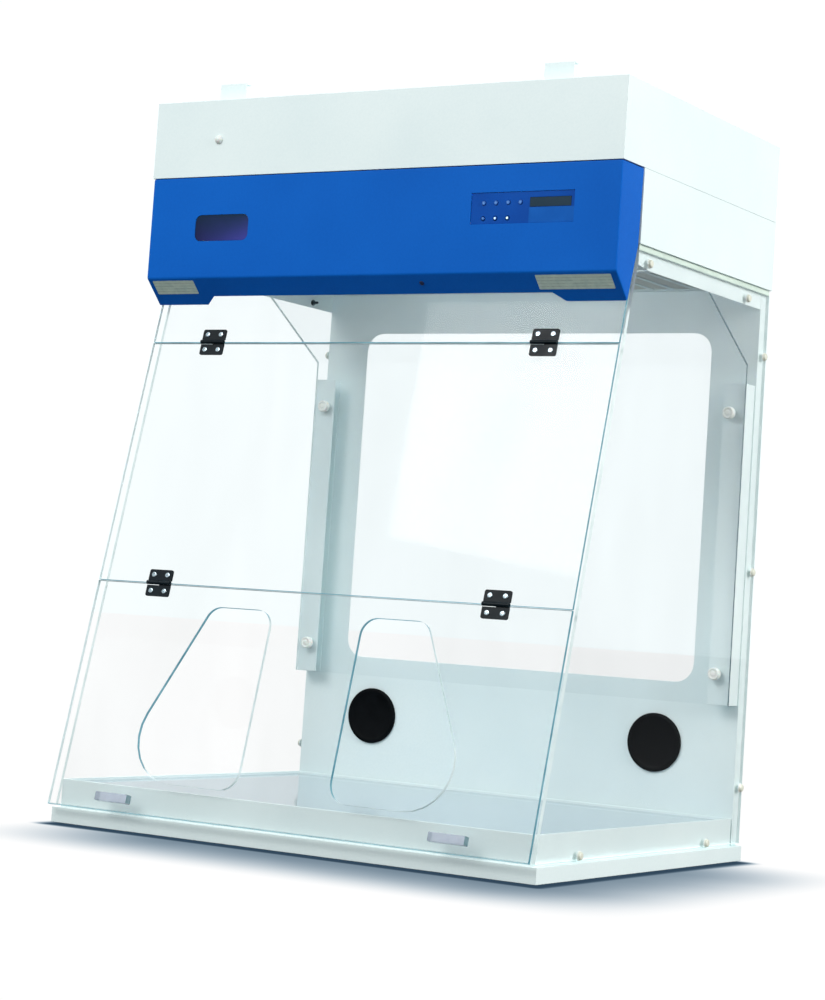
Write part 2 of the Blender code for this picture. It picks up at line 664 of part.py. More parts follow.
# ---------------------------------------------------------------- lower head
def head_body():
    """Lower head: four walls and a floor with the intake, and a flange down each side."""
    inner = HALF_W - SHEET
    top = HEAD_SPLIT - GAP
    floor = HEAD_BOTTOM + SHEET
    rings = [
        (-HALF_W, HALF_W, LOWER_HEAD_FRONT, HEAD_REAR, HEAD_BOTTOM),
        (-HALF_W, HALF_W, LOWER_HEAD_FRONT, HEAD_REAR, top),
        (-inner, inner, LOWER_HEAD_FRONT + SHEET, HEAD_REAR - SHEET, top),
        (-inner, inner, LOWER_HEAD_FRONT + SHEET, HEAD_REAR - SHEET, floor),
        (*INTAKE, floor),
        (*INTAKE, HEAD_BOTTOM),
    ]
    part = add_part("head_body", lofted_mesh("head_body", rings, closed=True), WHITE)
    low = HEAD_BOTTOM - FLANGE_DROP
    high = HEAD_BOTTOM + 0.001
    nose, full = FLANGE_NOSE
    rear = WALL_FRONT - GAP
    outline = [(nose, low + 0.004), (full, low), (rear, low), (rear, high), (nose, high)]
    for side in (-1, 1):
        name = "join_flange_" + side_name(side)
        near, far = sorted((side * FLANGE_IN, side * FLANGE_OUT))
        boolean(part, add_cutter(name, plate_mesh(name, outline, near, far), SIDE_VIEW), 'UNION')
    half_w, half_h = (half + 0.0005 for half in SOCKET_BODY)
    socket = box_mesh("cut_socket", SOCKET_X - half_w, SOCKET_X + half_w, HEAD_REAR - CUT, HEAD_REAR + CUT,
                      SOCKET_Z - half_h, SOCKET_Z + half_h)
    boolean(part, add_cutter("cut_socket", socket))


def intake_grille():
    """Slotted plate that carries the prefilter, screwed under the head's floor."""
    x0, x1, y0, y1 = INTAKE
    outline = rectangle(x0 - 0.012, x1 + 0.012, y0 - 0.010, y1 + 0.010)
    first = -SLOT_PITCH * (GRILLE_SLOTS - 1) / 2
    half = (SLOT_PITCH - GRILLE_BAR) / 2
    holes = []
    for i in range(GRILLE_SLOTS):
        x = first + i * SLOT_PITCH
        holes.append(rectangle(x - half, x + half, y0 + GRILLE_BAR, y1 - GRILLE_BAR))
    mesh = plate_mesh("intake_grille", outline, HEAD_BOTTOM - GAP - SHEET, HEAD_BOTTOM - GAP, holes)
    add_part("intake_grille", mesh, WHITE)


def prefilter():
    x0, x1, y0, y1 = INTAKE
    inset = 0.0015
    mesh = box_mesh("prefilter", x0 + inset, x1 - inset, y0 + inset, y1 - inset, HEAD_BOTTOM,
                    FAN_PLATE_Z - 0.001)
    bevel(add_part("prefilter", mesh, FILTER_WHITE, roughness=0.95), 0.002, 2)


def fan_plate():
    inset = SHEET + 0.0005
    inner = HALF_W - inset
    outline = rectangle(-inner, inner, LOWER_HEAD_FRONT + inset, HEAD_REAR - inset)
    inlet = circle(0.0, FAN_Y, INLET_R, 40)
    mesh = plate_mesh("fan_plate", outline, FAN_PLATE_Z, FAN_PLATE_Z + SHEET, [inlet])
    add_part("fan_plate", mesh, STEEL, metallic=1.0, roughness=0.4)


def fan_impeller():
    """Backward-curved blades on a hub under a round back plate; origin on the shaft."""
    blades = 9
    hub = 0.030
    width = 0.0025
    swept = 0.45
    outward = [(0.055, 0.35 * swept), (0.075, 0.7 * swept), (FAN_R - 0.002, swept)]
    outline = []
    for i in range(blades):
        start = 2 * math.pi * i / blades
        outline.append((hub * math.cos(start), hub * math.sin(start)))
        for radius, turn in outward:
            outline.append((radius * math.cos(start + turn), radius * math.sin(start + turn)))
        for radius, turn in reversed(outward):
            shifted = start + turn + width / radius
            outline.append((radius * math.cos(shifted), radius * math.sin(shifted)))
        shifted = start + width / hub
        outline.append((hub * math.cos(shifted), hub * math.sin(shifted)))
        middle = start + math.pi / blades
        outline.append((hub * math.cos(middle), hub * math.sin(middle)))
    place = Matrix.Translation((0.0, FAN_Y, FAN_PLATE_Z))
    mesh = plate_mesh("fan_impeller", outline, BLADE_LOW, BLADE_HIGH)
    part = add_part("fan_impeller", mesh, FAN_GREY, place)
    disc = cylinder_mesh("join_impeller", FAN_R, BLADE_HIGH - 0.001, BLADE_HIGH + 0.001, 40)
    boolean(part, add_cutter("join_impeller", disc, place), 'UNION')


def fan_motor():
    chamfer = 0.004
    profile = [(0.0, MOTOR_TOP), (MOTOR_R - chamfer, MOTOR_TOP), (MOTOR_R, MOTOR_TOP - chamfer),
               (MOTOR_R, MOTOR_LOW + chamfer), (MOTOR_R - chamfer, MOTOR_LOW), (0.0, MOTOR_LOW)]
    turned("fan_motor", profile, STEEL, Matrix.Translation((0.0, FAN_Y, FAN_PLATE_Z)), 32, 1.0, 0.35)


def motor_bridge():
    """Strap over the impeller that the motor hangs from."""
    foot = FAN_PLATE_Z + SHEET + GAP
    top = FAN_PLATE_Z + MOTOR_TOP + GAP
    half = BRIDGE_HALF_W
    toe = half + 0.015
    t = SHEET
    outline = [(-toe, foot), (-half + t, foot), (-half + t, top), (half - t, top), (half - t, foot),
               (toe, foot), (toe, foot + t), (half, foot + t), (half, top + t), (-half, top + t),
               (-half, foot + t), (-toe, foot + t)]
    mesh = plate_mesh("motor_bridge", outline, -FAN_Y - BRIDGE_HALF_D, -FAN_Y + BRIDGE_HALF_D)
    add_part("motor_bridge", mesh, STEEL, FRONT_VIEW, metallic=1.0, roughness=0.4)


def power_inlet():
    """Appliance inlet through the rear wall, with three blades in its well."""
    place = Matrix.Translation((SOCKET_X, HEAD_REAR, SOCKET_Z)) @ frame_from(-X_DIR, Z_DIR, Y_DIR)

    def ring(halves, height, wider=0.0):
        half_w, half_h = (half + wider for half in halves)
        return (-half_w, half_w, -half_h, half_h, height)

    floor = -SOCKET_DEPTH
    rings = [
        ring(SOCKET_WELL, floor),
        ring(SOCKET_WELL, SOCKET_RIM - 0.001),
        ring(SOCKET_WELL, SOCKET_RIM, 0.001),
        ring(SOCKET_PLATE, SOCKET_RIM),
        ring(SOCKET_PLATE, GAP),
        ring(SOCKET_BODY, GAP),
        ring(SOCKET_BODY, floor - 0.004),
    ]
    part = add_part("power_inlet", lofted_mesh("power_inlet", rings), BLACK, place, roughness=0.4)
    centres = ((-0.007, -0.0025), (0.0, 0.0015), (0.007, -0.0025))
    blades = [(x - 0.001, x + 0.001, y - 0.002, y + 0.002, floor - 0.002, -0.001) for x, y in centres]
    boolean(part, add_cutter("join_blades", boxes_mesh("join_blades", blades), place), 'UNION')


# ---------------------------------------------------------------- upper head
def filter_housing():
    """White upper box with a ledge for the filter inside and a lid opening on top."""
    inner = HALF_W - SHEET
    top = HEAD_TOP - SHEET
    wall = (-inner, inner, HEAD_FRONT + SHEET, HEAD_REAR - SHEET)
    rings = [
        (-HALF_W, HALF_W, HEAD_FRONT, HEAD_REAR, HEAD_SPLIT),
        (-HALF_W, HALF_W, HEAD_FRONT, HEAD_REAR, top),
        (*LID_OPENING, top),
        (*LID_OPENING, top - SHEET),
        (*wall, top - SHEET),
        (*wall, HEAD_SPLIT + SHEET),
        (*FILTER_LEDGE, HEAD_SPLIT + SHEET),
        (*FILTER_LEDGE, HEAD_SPLIT),
    ]
    part = add_part("filter_housing", lofted_mesh("filter_housing", rings, closed=True), WHITE)
    hole = cylinder_mesh("cut_sample", SAMPLE_R + GAP, -HEAD_FRONT - CUT, -HEAD_FRONT + CUT, 16,
                         ((SAMPLE_X, SAMPLE_Z),))
    boolean(part, add_cutter("cut_sample", hole, FRONT_VIEW))


def main_filter():
    """Carbon cassette: a deep frame with the bed halfway down it."""
    low = HEAD_SPLIT + SHEET + GAP
    high = low + FILTER_H
    rings = [(*FILTER_BED, high - FILTER_RECESS), (*FILTER_BED, high), (*FILTER_FRAME, high),
             (*FILTER_FRAME, low), (*FILTER_BED, low), (*FILTER_BED, low + FILTER_RECESS)]
    part = add_part("main_filter", lofted_mesh("main_filter", rings), CARBON_GREY, roughness=0.8)
    bevel(part, 0.001, 1)


def filter_lid():
    """Slotted lid that drops into the opening, with two lift tabs near its front edge."""
    x0, x1, y0, y1 = LID_OPENING
    skirt = (x0 + 0.0005, x1 - 0.0005, y0 + 0.0005, y1 - 0.0005)
    skirt_in = (x0 + 0.002, x1 - 0.002, y0 + 0.002, y1 - 0.002)
    rim = (x0 - 0.006, x1 + 0.006, y0 - 0.004, y1 + 0.0045)
    under = HEAD_TOP - SHEET + GAP
    low = under - 0.009
    rings = [(*skirt_in, under), (*skirt_in, low), (*skirt, low), (*skirt, under), (*rim, under),
             (*rim, HEAD_TOP)]
    part = add_part("filter_lid", lofted_mesh("filter_lid", rings), WHITE)
    first = -SLOT_PITCH * (EXHAUST_SLOTS - 1) / 2
    slots = []
    for i in range(EXHAUST_SLOTS):
        x = first + i * SLOT_PITCH
        slots.append((x - EXHAUST_W / 2, x + EXHAUST_W / 2, EXHAUST_FRONT, EXHAUST_REAR, HEAD_TOP - CUT,
                      HEAD_TOP + CUT))
    boolean(part, add_cutter("cut_exhaust", boxes_mesh("cut_exhaust", slots)))
    root = HEAD_TOP - 0.001
    stem = TAB_FRONT + 0.002
    tip = TAB_FRONT + TAB_REACH
    tab = [(TAB_FRONT, root), (stem, root), (stem, TAB_TOP - SHEET), (tip, TAB_TOP - SHEET), (tip, TAB_TOP),
           (TAB_FRONT, TAB_TOP)]
    for side in (-1, 1):
        name = "join_tab_" + side_name(side)
        near, far = sorted(side * x for x in TAB_X)
        boolean(part, add_cutter(name, plate_mesh(name, tab, near, far), SIDE_VIEW), 'UNION')


def sample_plug():
    """Small pull-out plug in the upper head's front."""
    dome_r, dome_h, depth = 0.0068, 0.0058, 0.010
    profile = [(0.0, dome_h), (0.45 * dome_r, 0.9 * dome_h), (0.85 * dome_r, 0.55 * dome_h), (dome_r, GAP),
               (SAMPLE_R, GAP), (SAMPLE_R, 0.002 - depth), (SAMPLE_R - 0.0007, -depth), (0.0, -depth)]
    place = Matrix.Translation((SAMPLE_X, HEAD_FRONT, SAMPLE_Z)) @ FRONT_VIEW
    turned("sample_plug", profile, WHITE, place, 24, roughness=0.35)


# ---------------------------------------------------------------- front cover and controls
def front_cover():
    """Folded blue sheet: top, front, slanted underside with two feet, and both ends."""
    tip_y, tip_z = COVER_TIP
    fall = (COVER_LOW - COVER_NOTCH_Z) / (COVER_LOW - tip_z)
    notch_y = COVER_FRONT + fall * (tip_y - COVER_FRONT)
    rear = LOWER_HEAD_FRONT - GAP
    bm = bmesh.new()

    def vertex(x, y, z):
        return bm.verts.new((x, y, z))

    ends = {}
    for side in (-1, 1):
        x = side * COVER_HALF_W
        ends[side] = {
            "top_rear": vertex(x, rear, COVER_TOP),
            "top_front": vertex(x, COVER_FRONT, COVER_TOP),
            "low_front": vertex(x, COVER_FRONT, COVER_LOW),
            "tip": vertex(x, tip_y, tip_z),
            "side_low": vertex(x, *COVER_SIDE_LOW),
            "foot": vertex(side * FOOT_INNER_X, tip_y, tip_z),
            "notch": vertex(side * NOTCH_X, notch_y, COVER_NOTCH_Z),
        }
    left, right = ends[-1], ends[1]
    for end in (left, right):
        bm.faces.new([end[key] for key in ("top_rear", "top_front", "low_front", "tip", "side_low")])
    bm.faces.new((left["top_rear"], right["top_rear"], right["top_front"], left["top_front"]))
    bm.faces.new((left["top_front"], right["top_front"], right["low_front"], left["low_front"]))
    bm.faces.new((left["low_front"], right["low_front"], right["tip"], right["foot"], right["notch"],
                  left["notch"], left["foot"], left["tip"]))
    part = add_part("front_cover", finish_mesh("front_cover", bm), BLUE, roughness=0.35)
    bevel(part, 0.0025, 2, 20.0)
    shell = part.modifiers.new("sheet", 'SOLIDIFY')
    shell.thickness = COVER_SHEET
    shell.offset = -1.0
    shell.use_even_offset = True
    reach = 4 * COVER_SHEET
    near, far = -COVER_FRONT - reach, -COVER_FRONT + reach
    half_w, half_h = PANEL_W / 2 + GAP, PANEL_H / 2 + GAP
    opening = rectangle(PANEL_X - half_w, PANEL_X + half_w, PANEL_Z - half_h, PANEL_Z + half_h)
    boolean(part, add_cutter("cut_panel", plate_mesh("cut_panel", opening, near, far), FRONT_VIEW))
    lens = plate_mesh("cut_status", status_outline(GAP), near, far)
    boolean(part, add_cutter("cut_status", lens, FRONT_VIEW))


def status_outline(margin):
    x, z, width, height = STATUS
    half_w, half_h = width / 2 + margin, height / 2 + margin
    return rounded(rectangle(x - half_w, x + half_w, z - half_h, z + half_h), [STATUS_R] * 4, 4)


def status_window():
    mesh = plate_mesh("status_window", status_outline(0.0), -COVER_FRONT - 0.0035, -COVER_FRONT - 0.0005)
    add_part("status_window", mesh, LENS_DARK, FRONT_VIEW, roughness=0.1)


def key_centres():
    return [(KEY_X0 + i * KEY_PITCH, KEY_Z) for i in range(4)]


def led_centres():
    return [(KEY_X0 + i * KEY_PITCH, LED_Z) for i in range(3)]


def control_panel():
    """Recessed plate with holes for the display, the keys and the lamps."""
    half_w, half_h = PANEL_W / 2, PANEL_H / 2
    outline = rectangle(PANEL_X - half_w, PANEL_X + half_w, PANEL_Z - half_h, PANEL_Z + half_h)
    x0, x1, z0, z1 = DISPLAY
    holes = [rectangle(x0 - GAP, x1 + GAP, z0 - GAP, z1 + GAP)]
    holes += [circle(x, z, KEY_R + GAP, 20) for x, z in key_centres() + led_centres()]
    mesh = plate_mesh("control_panel", outline, -PANEL_FACE - SHEET, -PANEL_FACE, holes)
    add_part("control_panel", mesh, DARK_BLUE, FRONT_VIEW, roughness=0.3)


def display():
    x0, x1, z0, z1 = DISPLAY
    mesh = box_mesh("display", x0, x1, PANEL_FACE - 0.0002, PANEL_FACE + 0.0052, z0, z1)
    add_part("display", mesh, DISPLAY_DARK, roughness=0.1)


def keys():
    """Round push keys that travel a little under 1 mm towards the board."""
    cap, collar_r = 0.0013, KEY_R + 0.0009
    collar = -SHEET - GAP
    under = collar - 0.0012
    profile = [(0.0, cap), (KEY_R - 0.0006, cap), (KEY_R, cap - 0.0005), (KEY_R, collar), (collar_r, collar),
               (collar_r, under), (0.0, under)]
    for i, (x, z) in enumerate(key_centres()):
        place = Matrix.Translation((x, PANEL_FACE, z)) @ FRONT_VIEW
        turned("key_" + str(i + 1), profile, KEY_BLUE, place, 20, roughness=0.5)


def indicator_lamps():
    radius, dome, depth = KEY_R - 0.0004, 0.0016, 0.0050
    profile = [(0.0, dome), (radius * 0.6, dome * 0.8), (radius * 0.9, dome * 0.4), (radius, -GAP),
               (radius, -depth), (0.0, -depth)]
    for i, (x, z) in enumerate(led_centres()):
        place = Matrix.Translation((x, PANEL_FACE, z)) @ FRONT_VIEW
        turned("indicator_" + str(i + 1), profile, LAMP_PALE, place, 16, roughness=0.15)


def control_board():
    half_w, half_h = PANEL_W / 2 - 0.004, PANEL_H / 2 - 0.002
    near = PANEL_FACE + 0.0055
    thick = 0.0016
    mesh = box_mesh("control_board", PANEL_X - half_w, PANEL_X + half_w, near, near + thick,
                    PANEL_Z - half_h, PANEL_Z + half_h)
    add_part("control_board", mesh, BOARD_GREEN, roughness=0.4)


def lamp_batten():
    """Lamp behind the blue cover, shining down through the fixed strip of the sash."""
    outline = rounded(rectangle(*LAMP), [0.008, 0.008, 0.002, 0.002], 3)
    mesh = plate_mesh("lamp_batten", outline, -LAMP_HALF_W, LAMP_HALF_W)
    add_part("lamp_batten", mesh, BATTEN_WHITE, SIDE_VIEW, roughness=0.3)


# ---------------------------------------------------------------- build
BUILDERS = (
    base_pan, work_surface, feet,
    back_panel, back_window, port_plugs, side_panels, joint_strips,
    baffle, baffle_brackets, thumb_screws,
    sash_top, sash_middle, sash_lower, hinges, sash_grips,
    head_body, intake_grille, prefilter, fan_plate, fan_impeller, fan_motor, motor_bridge, power_inlet,
    filter_housing, main_filter, filter_lid, sample_plug,
    front_cover, status_window, control_panel, display, keys, indicator_lamps, control_board, lamp_batten,
)
for build in BUILDERS:
    build()
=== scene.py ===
import json
import math

import bmesh
import bpy
from mathutils import Matrix, Vector

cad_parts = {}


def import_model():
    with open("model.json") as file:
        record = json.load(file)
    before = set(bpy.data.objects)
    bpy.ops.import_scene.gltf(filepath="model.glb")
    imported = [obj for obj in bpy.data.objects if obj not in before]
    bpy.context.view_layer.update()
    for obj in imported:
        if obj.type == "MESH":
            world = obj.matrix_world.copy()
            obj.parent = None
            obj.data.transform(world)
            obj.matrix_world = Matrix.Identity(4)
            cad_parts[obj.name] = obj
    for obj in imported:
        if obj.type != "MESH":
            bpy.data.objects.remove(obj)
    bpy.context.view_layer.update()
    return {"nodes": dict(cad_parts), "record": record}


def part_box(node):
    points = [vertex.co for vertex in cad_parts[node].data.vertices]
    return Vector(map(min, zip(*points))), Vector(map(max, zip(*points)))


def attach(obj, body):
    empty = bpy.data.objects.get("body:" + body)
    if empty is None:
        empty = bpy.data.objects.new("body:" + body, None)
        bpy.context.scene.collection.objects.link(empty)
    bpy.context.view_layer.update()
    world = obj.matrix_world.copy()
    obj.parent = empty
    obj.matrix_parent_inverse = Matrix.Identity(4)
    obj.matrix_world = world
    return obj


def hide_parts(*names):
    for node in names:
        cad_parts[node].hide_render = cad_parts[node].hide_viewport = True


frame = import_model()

NODES = frame["nodes"]
JOINTS = {joint["name"]: joint for joint in frame["record"]["behaviour"]["joints"]}

X = Vector((1.0, 0.0, 0.0))
Y = Vector((0.0, 1.0, 0.0))
Z = Vector((0.0, 0.0, 1.0))
SIDES = (("left", -1), ("right", 1))

# painted floor shadow: these set the painted contact line and the painted soft shadow round the plinth, which
# no light casts
CONTACT_REACH = 0.016        # reach of the dark line where the plinth meets the floor
SHADOW_SHIFT = (0.10, -0.13)  # the soft shadow falls to the front right of the plinth
SHADOW_SOFT = 0.15
FLOOR_BOUNCE = 0.10

# the sash leans back along the line through its two hinge axes
UPPER_AXIS = Vector(JOINTS["sash_middle_swing"]["pos_m"])
LOWER_AXIS = Vector(JOINTS["sash_lower_swing"]["pos_m"])
UP_SLOPE = (UPPER_AXIS - LOWER_AXIS).normalized()
OUT = Vector((0.0, -UP_SLOPE.z, UP_SLOPE.y))


# ---------------------------------------------------------------- materials
class Paint:
    """A node material under construction."""

    def __init__(self, name):
        self.material = bpy.data.materials.new(name)
        self.material.use_nodes = True
        self.tree = self.material.node_tree
        self.tree.nodes.clear()
        self.output = self.add("ShaderNodeOutputMaterial")
        self.coords = self.add("ShaderNodeTexCoord")

    def add(self, kind, inputs=None, **settings):
        node = self.tree.nodes.new(kind)
        for key, value in settings.items():
            setattr(node, key, value)
        for key, value in (inputs or {}).items():
            socket = node.inputs[key]
            if isinstance(value, bpy.types.NodeSocket):
                self.tree.links.new(value, socket)
            else:
                socket.default_value = value
        return node

    def place(self, stretch=(1.0, 1.0, 1.0)):
        vector = self.coords.outputs["Object"]
        return self.add("ShaderNodeMapping", {"Vector": vector, "Scale": stretch}).outputs[0]

    def noise(self, scale, detail=2.0, stretch=(1.0, 1.0, 1.0), distortion=0.0):
        inputs = {"Vector": self.place(stretch), "Scale": scale, "Detail": detail, "Distortion": distortion}
        return self.add("ShaderNodeTexNoise", inputs).outputs["Fac"]

    def remap(self, value, low, high, source=(0.3, 0.7)):
        inputs = {"Value": value, "From Min": source[0], "From Max": source[1], "To Min": low, "To Max": high}
        return self.add("ShaderNodeMapRange", inputs).outputs[0]

    def math(self, operation, a, b=0.0):
        return self.add("ShaderNodeMath", {0: a, 1: b}, operation=operation).outputs[0]

    def blend(self, factor, a, b):
        return self.add("ShaderNodeMix", {0: factor, 6: a, 7: b}, data_type='RGBA').outputs[2]

    def bump(self, height, strength, distance=0.001, normal=None):
        inputs = {"Height": height, "Strength": strength, "Distance": distance}
        if normal is not None:
            inputs["Normal"] = normal
        return self.add("ShaderNodeBump", inputs).outputs[0]

    def principled(self, color, roughness, **more):
        inputs = {"Base Color": color, "Roughness": roughness}
        inputs.update({key.replace("_", " "): value for key, value in more.items()})
        return self.add("ShaderNodeBsdfPrincipled", inputs)

    def dot(self, vector, axis):
        node = self.add("ShaderNodeVectorMath", {0: vector, 1: tuple(axis)}, operation='DOT_PRODUCT')
        return node.outputs["Value"]

    def offset(self, point):
        """Vector from point to the shaded spot."""
        inputs = {0: self.coords.outputs["Object"], 1: tuple(point)}
        return self.add("ShaderNodeVectorMath", inputs, operation='SUBTRACT').outputs[0]

    def distance(self, point):
        inputs = {0: self.coords.outputs["Object"], 1: tuple(point)}
        return self.add("ShaderNodeVectorMath", inputs, operation='DISTANCE').outputs["Value"]

    def finish(self, shader):
        self.tree.links.new(shader.outputs[0], self.output.inputs["Surface"])
        return self.material


def rgb(r, g, b):
    """Colour given as 0-255 sRGB."""
    def linear(c):
        c = c / 255.0
        return c / 12.92 if c <= 0.04045 else ((c + 0.055) / 1.055) ** 2.4
    return (linear(r), linear(g), linear(b), 1.0)


def powder_coat(name, color, shade, rough=(0.34, 0.44), grain=1400.0, strength=0.10, coat=0.0, gloss=0.5):
    """Sprayed powder paint: orange-peel texture, faint mottling, a few duller rubbed patches."""
    p = Paint(name)
    mottle = p.noise(5.0, 4.0)
    speck = p.noise(260.0, 2.0)
    tone = p.remap(p.math("ADD", p.math("MULTIPLY", mottle, 0.7), p.math("MULTIPLY", speck, 0.3)), 0.0, 1.0,
                   (0.35, 0.65))
    base = p.blend(tone, color, shade)
    roughness = p.remap(p.noise(11.0, 5.0), *rough)
    peel = p.bump(p.noise(grain, 2.0), strength, 0.0004)
    return p.finish(p.principled(base, roughness, Normal=peel, Coat_Weight=coat, Coat_Roughness=0.25,
                                 Specular_IOR_Level=gloss))


def clear_sheet(name, flat_axes, tint=(0.990, 0.993, 0.993, 1.0), pale_edges=False, foot=None,
                edges=(rgb(106, 150, 162), rgb(64, 114, 128)), painted_down_glow=0.55):
    """Clear acrylic: see-through on its broad faces, with teal edges that carry painted light: a painted glow
    on every edge, and painted pale on edges that face the light.

    Edges that face up, to the rear or to the left are painted pale as if lit, and with pale_edges all are;
    the others are teal.
    foot is a point on a lower edge: on the face just above it the edge's teal and glow are painted, a painted
    image of that edge seen through the sheet.
    The last argument is how much more painted glow (emission, though the sheet is no lamp) an edge that faces
    down gets.
    """
    p = Paint(name)
    # a face seen from behind reports its normal turned round, so it is turned back
    behind = p.add("ShaderNodeNewGeometry").outputs["Backfacing"]
    turned = p.math("SUBTRACT", 1.0, p.math("MULTIPLY", behind, 2.0))

    def along(axis):
        return p.math("MULTIPLY", p.dot(p.coords.outputs["Normal"], axis), turned)

    broad = None
    for axis in flat_axes:
        flat = p.math("GREATER_THAN", p.math("ABSOLUTE", along(axis)), 0.6)
        broad = flat if broad is None else p.math("MAXIMUM", broad, flat)
    # painted image of the lower edge: near foot the broad face takes the edge's teal and painted glow
    if foot is not None:
        lift = p.dot(p.offset(foot), UP_SLOPE)
        broad = p.math("MULTIPLY", broad, p.remap(lift, 0.15, 1.0, (0.0010, 0.0034)))
    smear = p.noise(7.0, 5.0, (1.0, 1.0, 0.35), 0.6)
    roughness = p.remap(smear, 0.008, 0.05)
    wave = p.bump(p.noise(3.0, 1.0), 0.05, 0.002)
    haze = p.blend(p.remap(smear, 0.0, 1.0), tint, tuple(c * 0.985 for c in tint[:3]) + (1.0,))
    through = p.add("ShaderNodeBsdfTransparent", {"Color": haze})
    shine = {"Color": (1.0, 1.0, 1.0, 1.0), "Roughness": roughness, "Normal": wave}
    gloss = p.add("ShaderNodeBsdfGlossy", shine)
    slant = p.add("ShaderNodeLayerWeight", {"Blend": 0.5, "Normal": wave}).outputs["Facing"]
    mirror = p.remap(p.math("POWER", slant, 4.0), 0.005, 0.30, (0.0, 1.0))
    pane = p.add("ShaderNodeMixShader", {0: mirror, 1: through.outputs[0], 2: gloss.outputs[0]})

    # painted light: edges that face up, to the rear or to the left are painted pale as if lit from there
    bright = 1.0 if pale_edges else p.remap(along((-0.75, 0.80, 0.60)), 0.0, 1.0, (0.0, 0.5))
    sawn = p.bump(p.noise(420.0, 2.0, (1.0, 1.0, 0.2)), 0.25, 0.0004)
    streak = p.remap(p.noise(30.0, 3.0), 0.0, 1.0)
    teal = p.blend(streak, *edges)
    pale = p.blend(streak, rgb(220, 231, 231), rgb(202, 217, 217))
    tone = p.blend(bright, teal, pale)
    # painted glow: every edge gives out light of its own though the sheet is no lamp, more where it faces
    # down, less where it is painted pale
    under = p.remap(along(-UP_SLOPE), 0.0, painted_down_glow, (0.5, 1.0))
    glow = p.math("ADD", p.math("SUBTRACT", 0.38, p.math("MULTIPLY", bright, 0.28)), under)
    rim = p.principled(tone, 0.25, Normal=sawn, Specular_IOR_Level=0.3, Emission_Color=tone,
                       Emission_Strength=glow)
    return p.finish(p.add("ShaderNodeMixShader", {0: broad, 1: rim.outputs[0], 2: pane.outputs[0]}))


def cast_grip(name, ends_axis):
    """Milky cast acrylic: mostly see-through, greyer at the ends and along the top."""
    p = Paint(name)
    normal = p.coords.outputs["Normal"]
    on_end = p.math("GREATER_THAN", p.math("ABSOLUTE", p.dot(normal, ends_axis)), 0.5)
    on_top = p.math("GREATER_THAN", p.dot(normal, UP_SLOPE), 0.5)
    cut = p.math("MAXIMUM", on_end, on_top)
    cloud = p.remap(p.noise(60.0, 4.0), 0.0, 1.0)
    face = p.blend(cloud, rgb(206, 208, 228), rgb(190, 196, 216))
    edge = p.blend(cloud, rgb(112, 146, 152), rgb(84, 122, 130))
    roughness = p.remap(p.noise(90.0, 3.0), 0.12, 0.3)
    body = p.principled(p.blend(cut, face, edge), roughness, Specular_IOR_Level=0.4)
    through = p.add("ShaderNodeBsdfTransparent", {"Color": (0.96, 0.97, 0.98, 1.0)})
    milk = p.math("ADD", p.math("MULTIPLY", cut, 0.35), p.remap(cloud, 0.34, 0.48, (0.0, 1.0)))
    return p.finish(p.add("ShaderNodeMixShader", {0: milk, 1: through.outputs[0], 2: body.outputs[0]}))


def moulded(name, color, shade, rough=(0.35, 0.5), grain=900.0, strength=0.12, **more):
    """Moulded plastic or rubber with a fine texture."""
    p = Paint(name)
    base = p.blend(p.remap(p.noise(18.0, 3.0), 0.0, 1.0), color, shade)
    normal = p.bump(p.noise(grain, 2.0), strength, 0.0003)
    return p.finish(p.principled(base, p.remap(p.noise(40.0, 3.0), *rough), Normal=normal, **more))


def brushed_metal(name, color, rough=(0.25, 0.4), stretch=(1.0, 30.0, 1.0)):
    """Bare metal with fine lines; a stretch of 1 each way gives a cast or turned grain."""
    p = Paint(name)
    lines = p.noise(160.0, 3.0, stretch)
    base = p.blend(p.remap(lines, 0.0, 1.0), color, tuple(c * 0.8 for c in color[:3]) + (1.0,))
    groove = p.bump(lines, 0.08, 0.0002)
    return p.finish(p.principled(base, p.remap(lines, *rough), Metallic=1.0, Normal=groove))


def gloss_worktop(name):
    """Pale glass-like top with fine scratches."""
    p = Paint(name)
    base = p.blend(p.remap(p.noise(4.0, 4.0), 0.0, 1.0), rgb(152, 174, 188), rgb(136, 160, 176))
    scratch = p.noise(60.0, 6.0, (1.0, 14.0, 1.0), 0.4)
    rough = p.remap(scratch, 0.05, 0.13)
    normal = p.bump(scratch, 0.03, 0.0002)
    return p.finish(p.principled(base, rough, Normal=normal, Coat_Weight=0.35, Coat_Roughness=0.03,
                                 Specular_IOR_Level=0.5))


def smoked_lens(name, centre, half_w, half_h):
    """Dark window that shades from navy at the top to violet at the bottom right."""
    p = Paint(name)
    place = p.add("ShaderNodeSeparateXYZ", {0: p.coords.outputs["Object"]})
    across = p.remap(place.outputs["X"], 0.0, 1.0, (centre.x - half_w, centre.x + half_w))
    down = p.remap(place.outputs["Z"], 1.0, 0.0, (centre.z - half_h, centre.z + half_h))
    top = p.blend(across, rgb(10, 36, 62), rgb(16, 44, 72))
    low = p.blend(across, rgb(20, 26, 74), rgb(62, 66, 156))
    wave = p.math("ADD", down, p.remap(p.noise(22.0, 2.0), -0.12, 0.12))
    base = p.blend(wave, top, low)
    return p.finish(p.principled(base, p.remap(p.noise(30.0, 3.0), 0.08, 0.16), Specular_IOR_Level=0.15))


def indicator(name, centre, radius, core, strength):
    """Small lamp under the film: a bright middle that fades into the panel's blue."""
    p = Paint(name)
    ragged = p.remap(p.noise(600.0, 2.0), -0.08, 0.08)
    reach = p.math("ADD", p.math("DIVIDE", p.distance(centre), radius), ragged)
    fade = p.remap(reach, 1.0, 0.0, (0.35, 0.75))
    base = p.blend(fade, rgb(10, 70, 150), core)
    glow = p.math("MULTIPLY", fade, strength)
    return p.finish(p.principled(base, p.remap(p.noise(50.0, 2.0), 0.25, 0.35), Emission_Color=base,
                                 Emission_Strength=glow, Specular_IOR_Level=0.25))


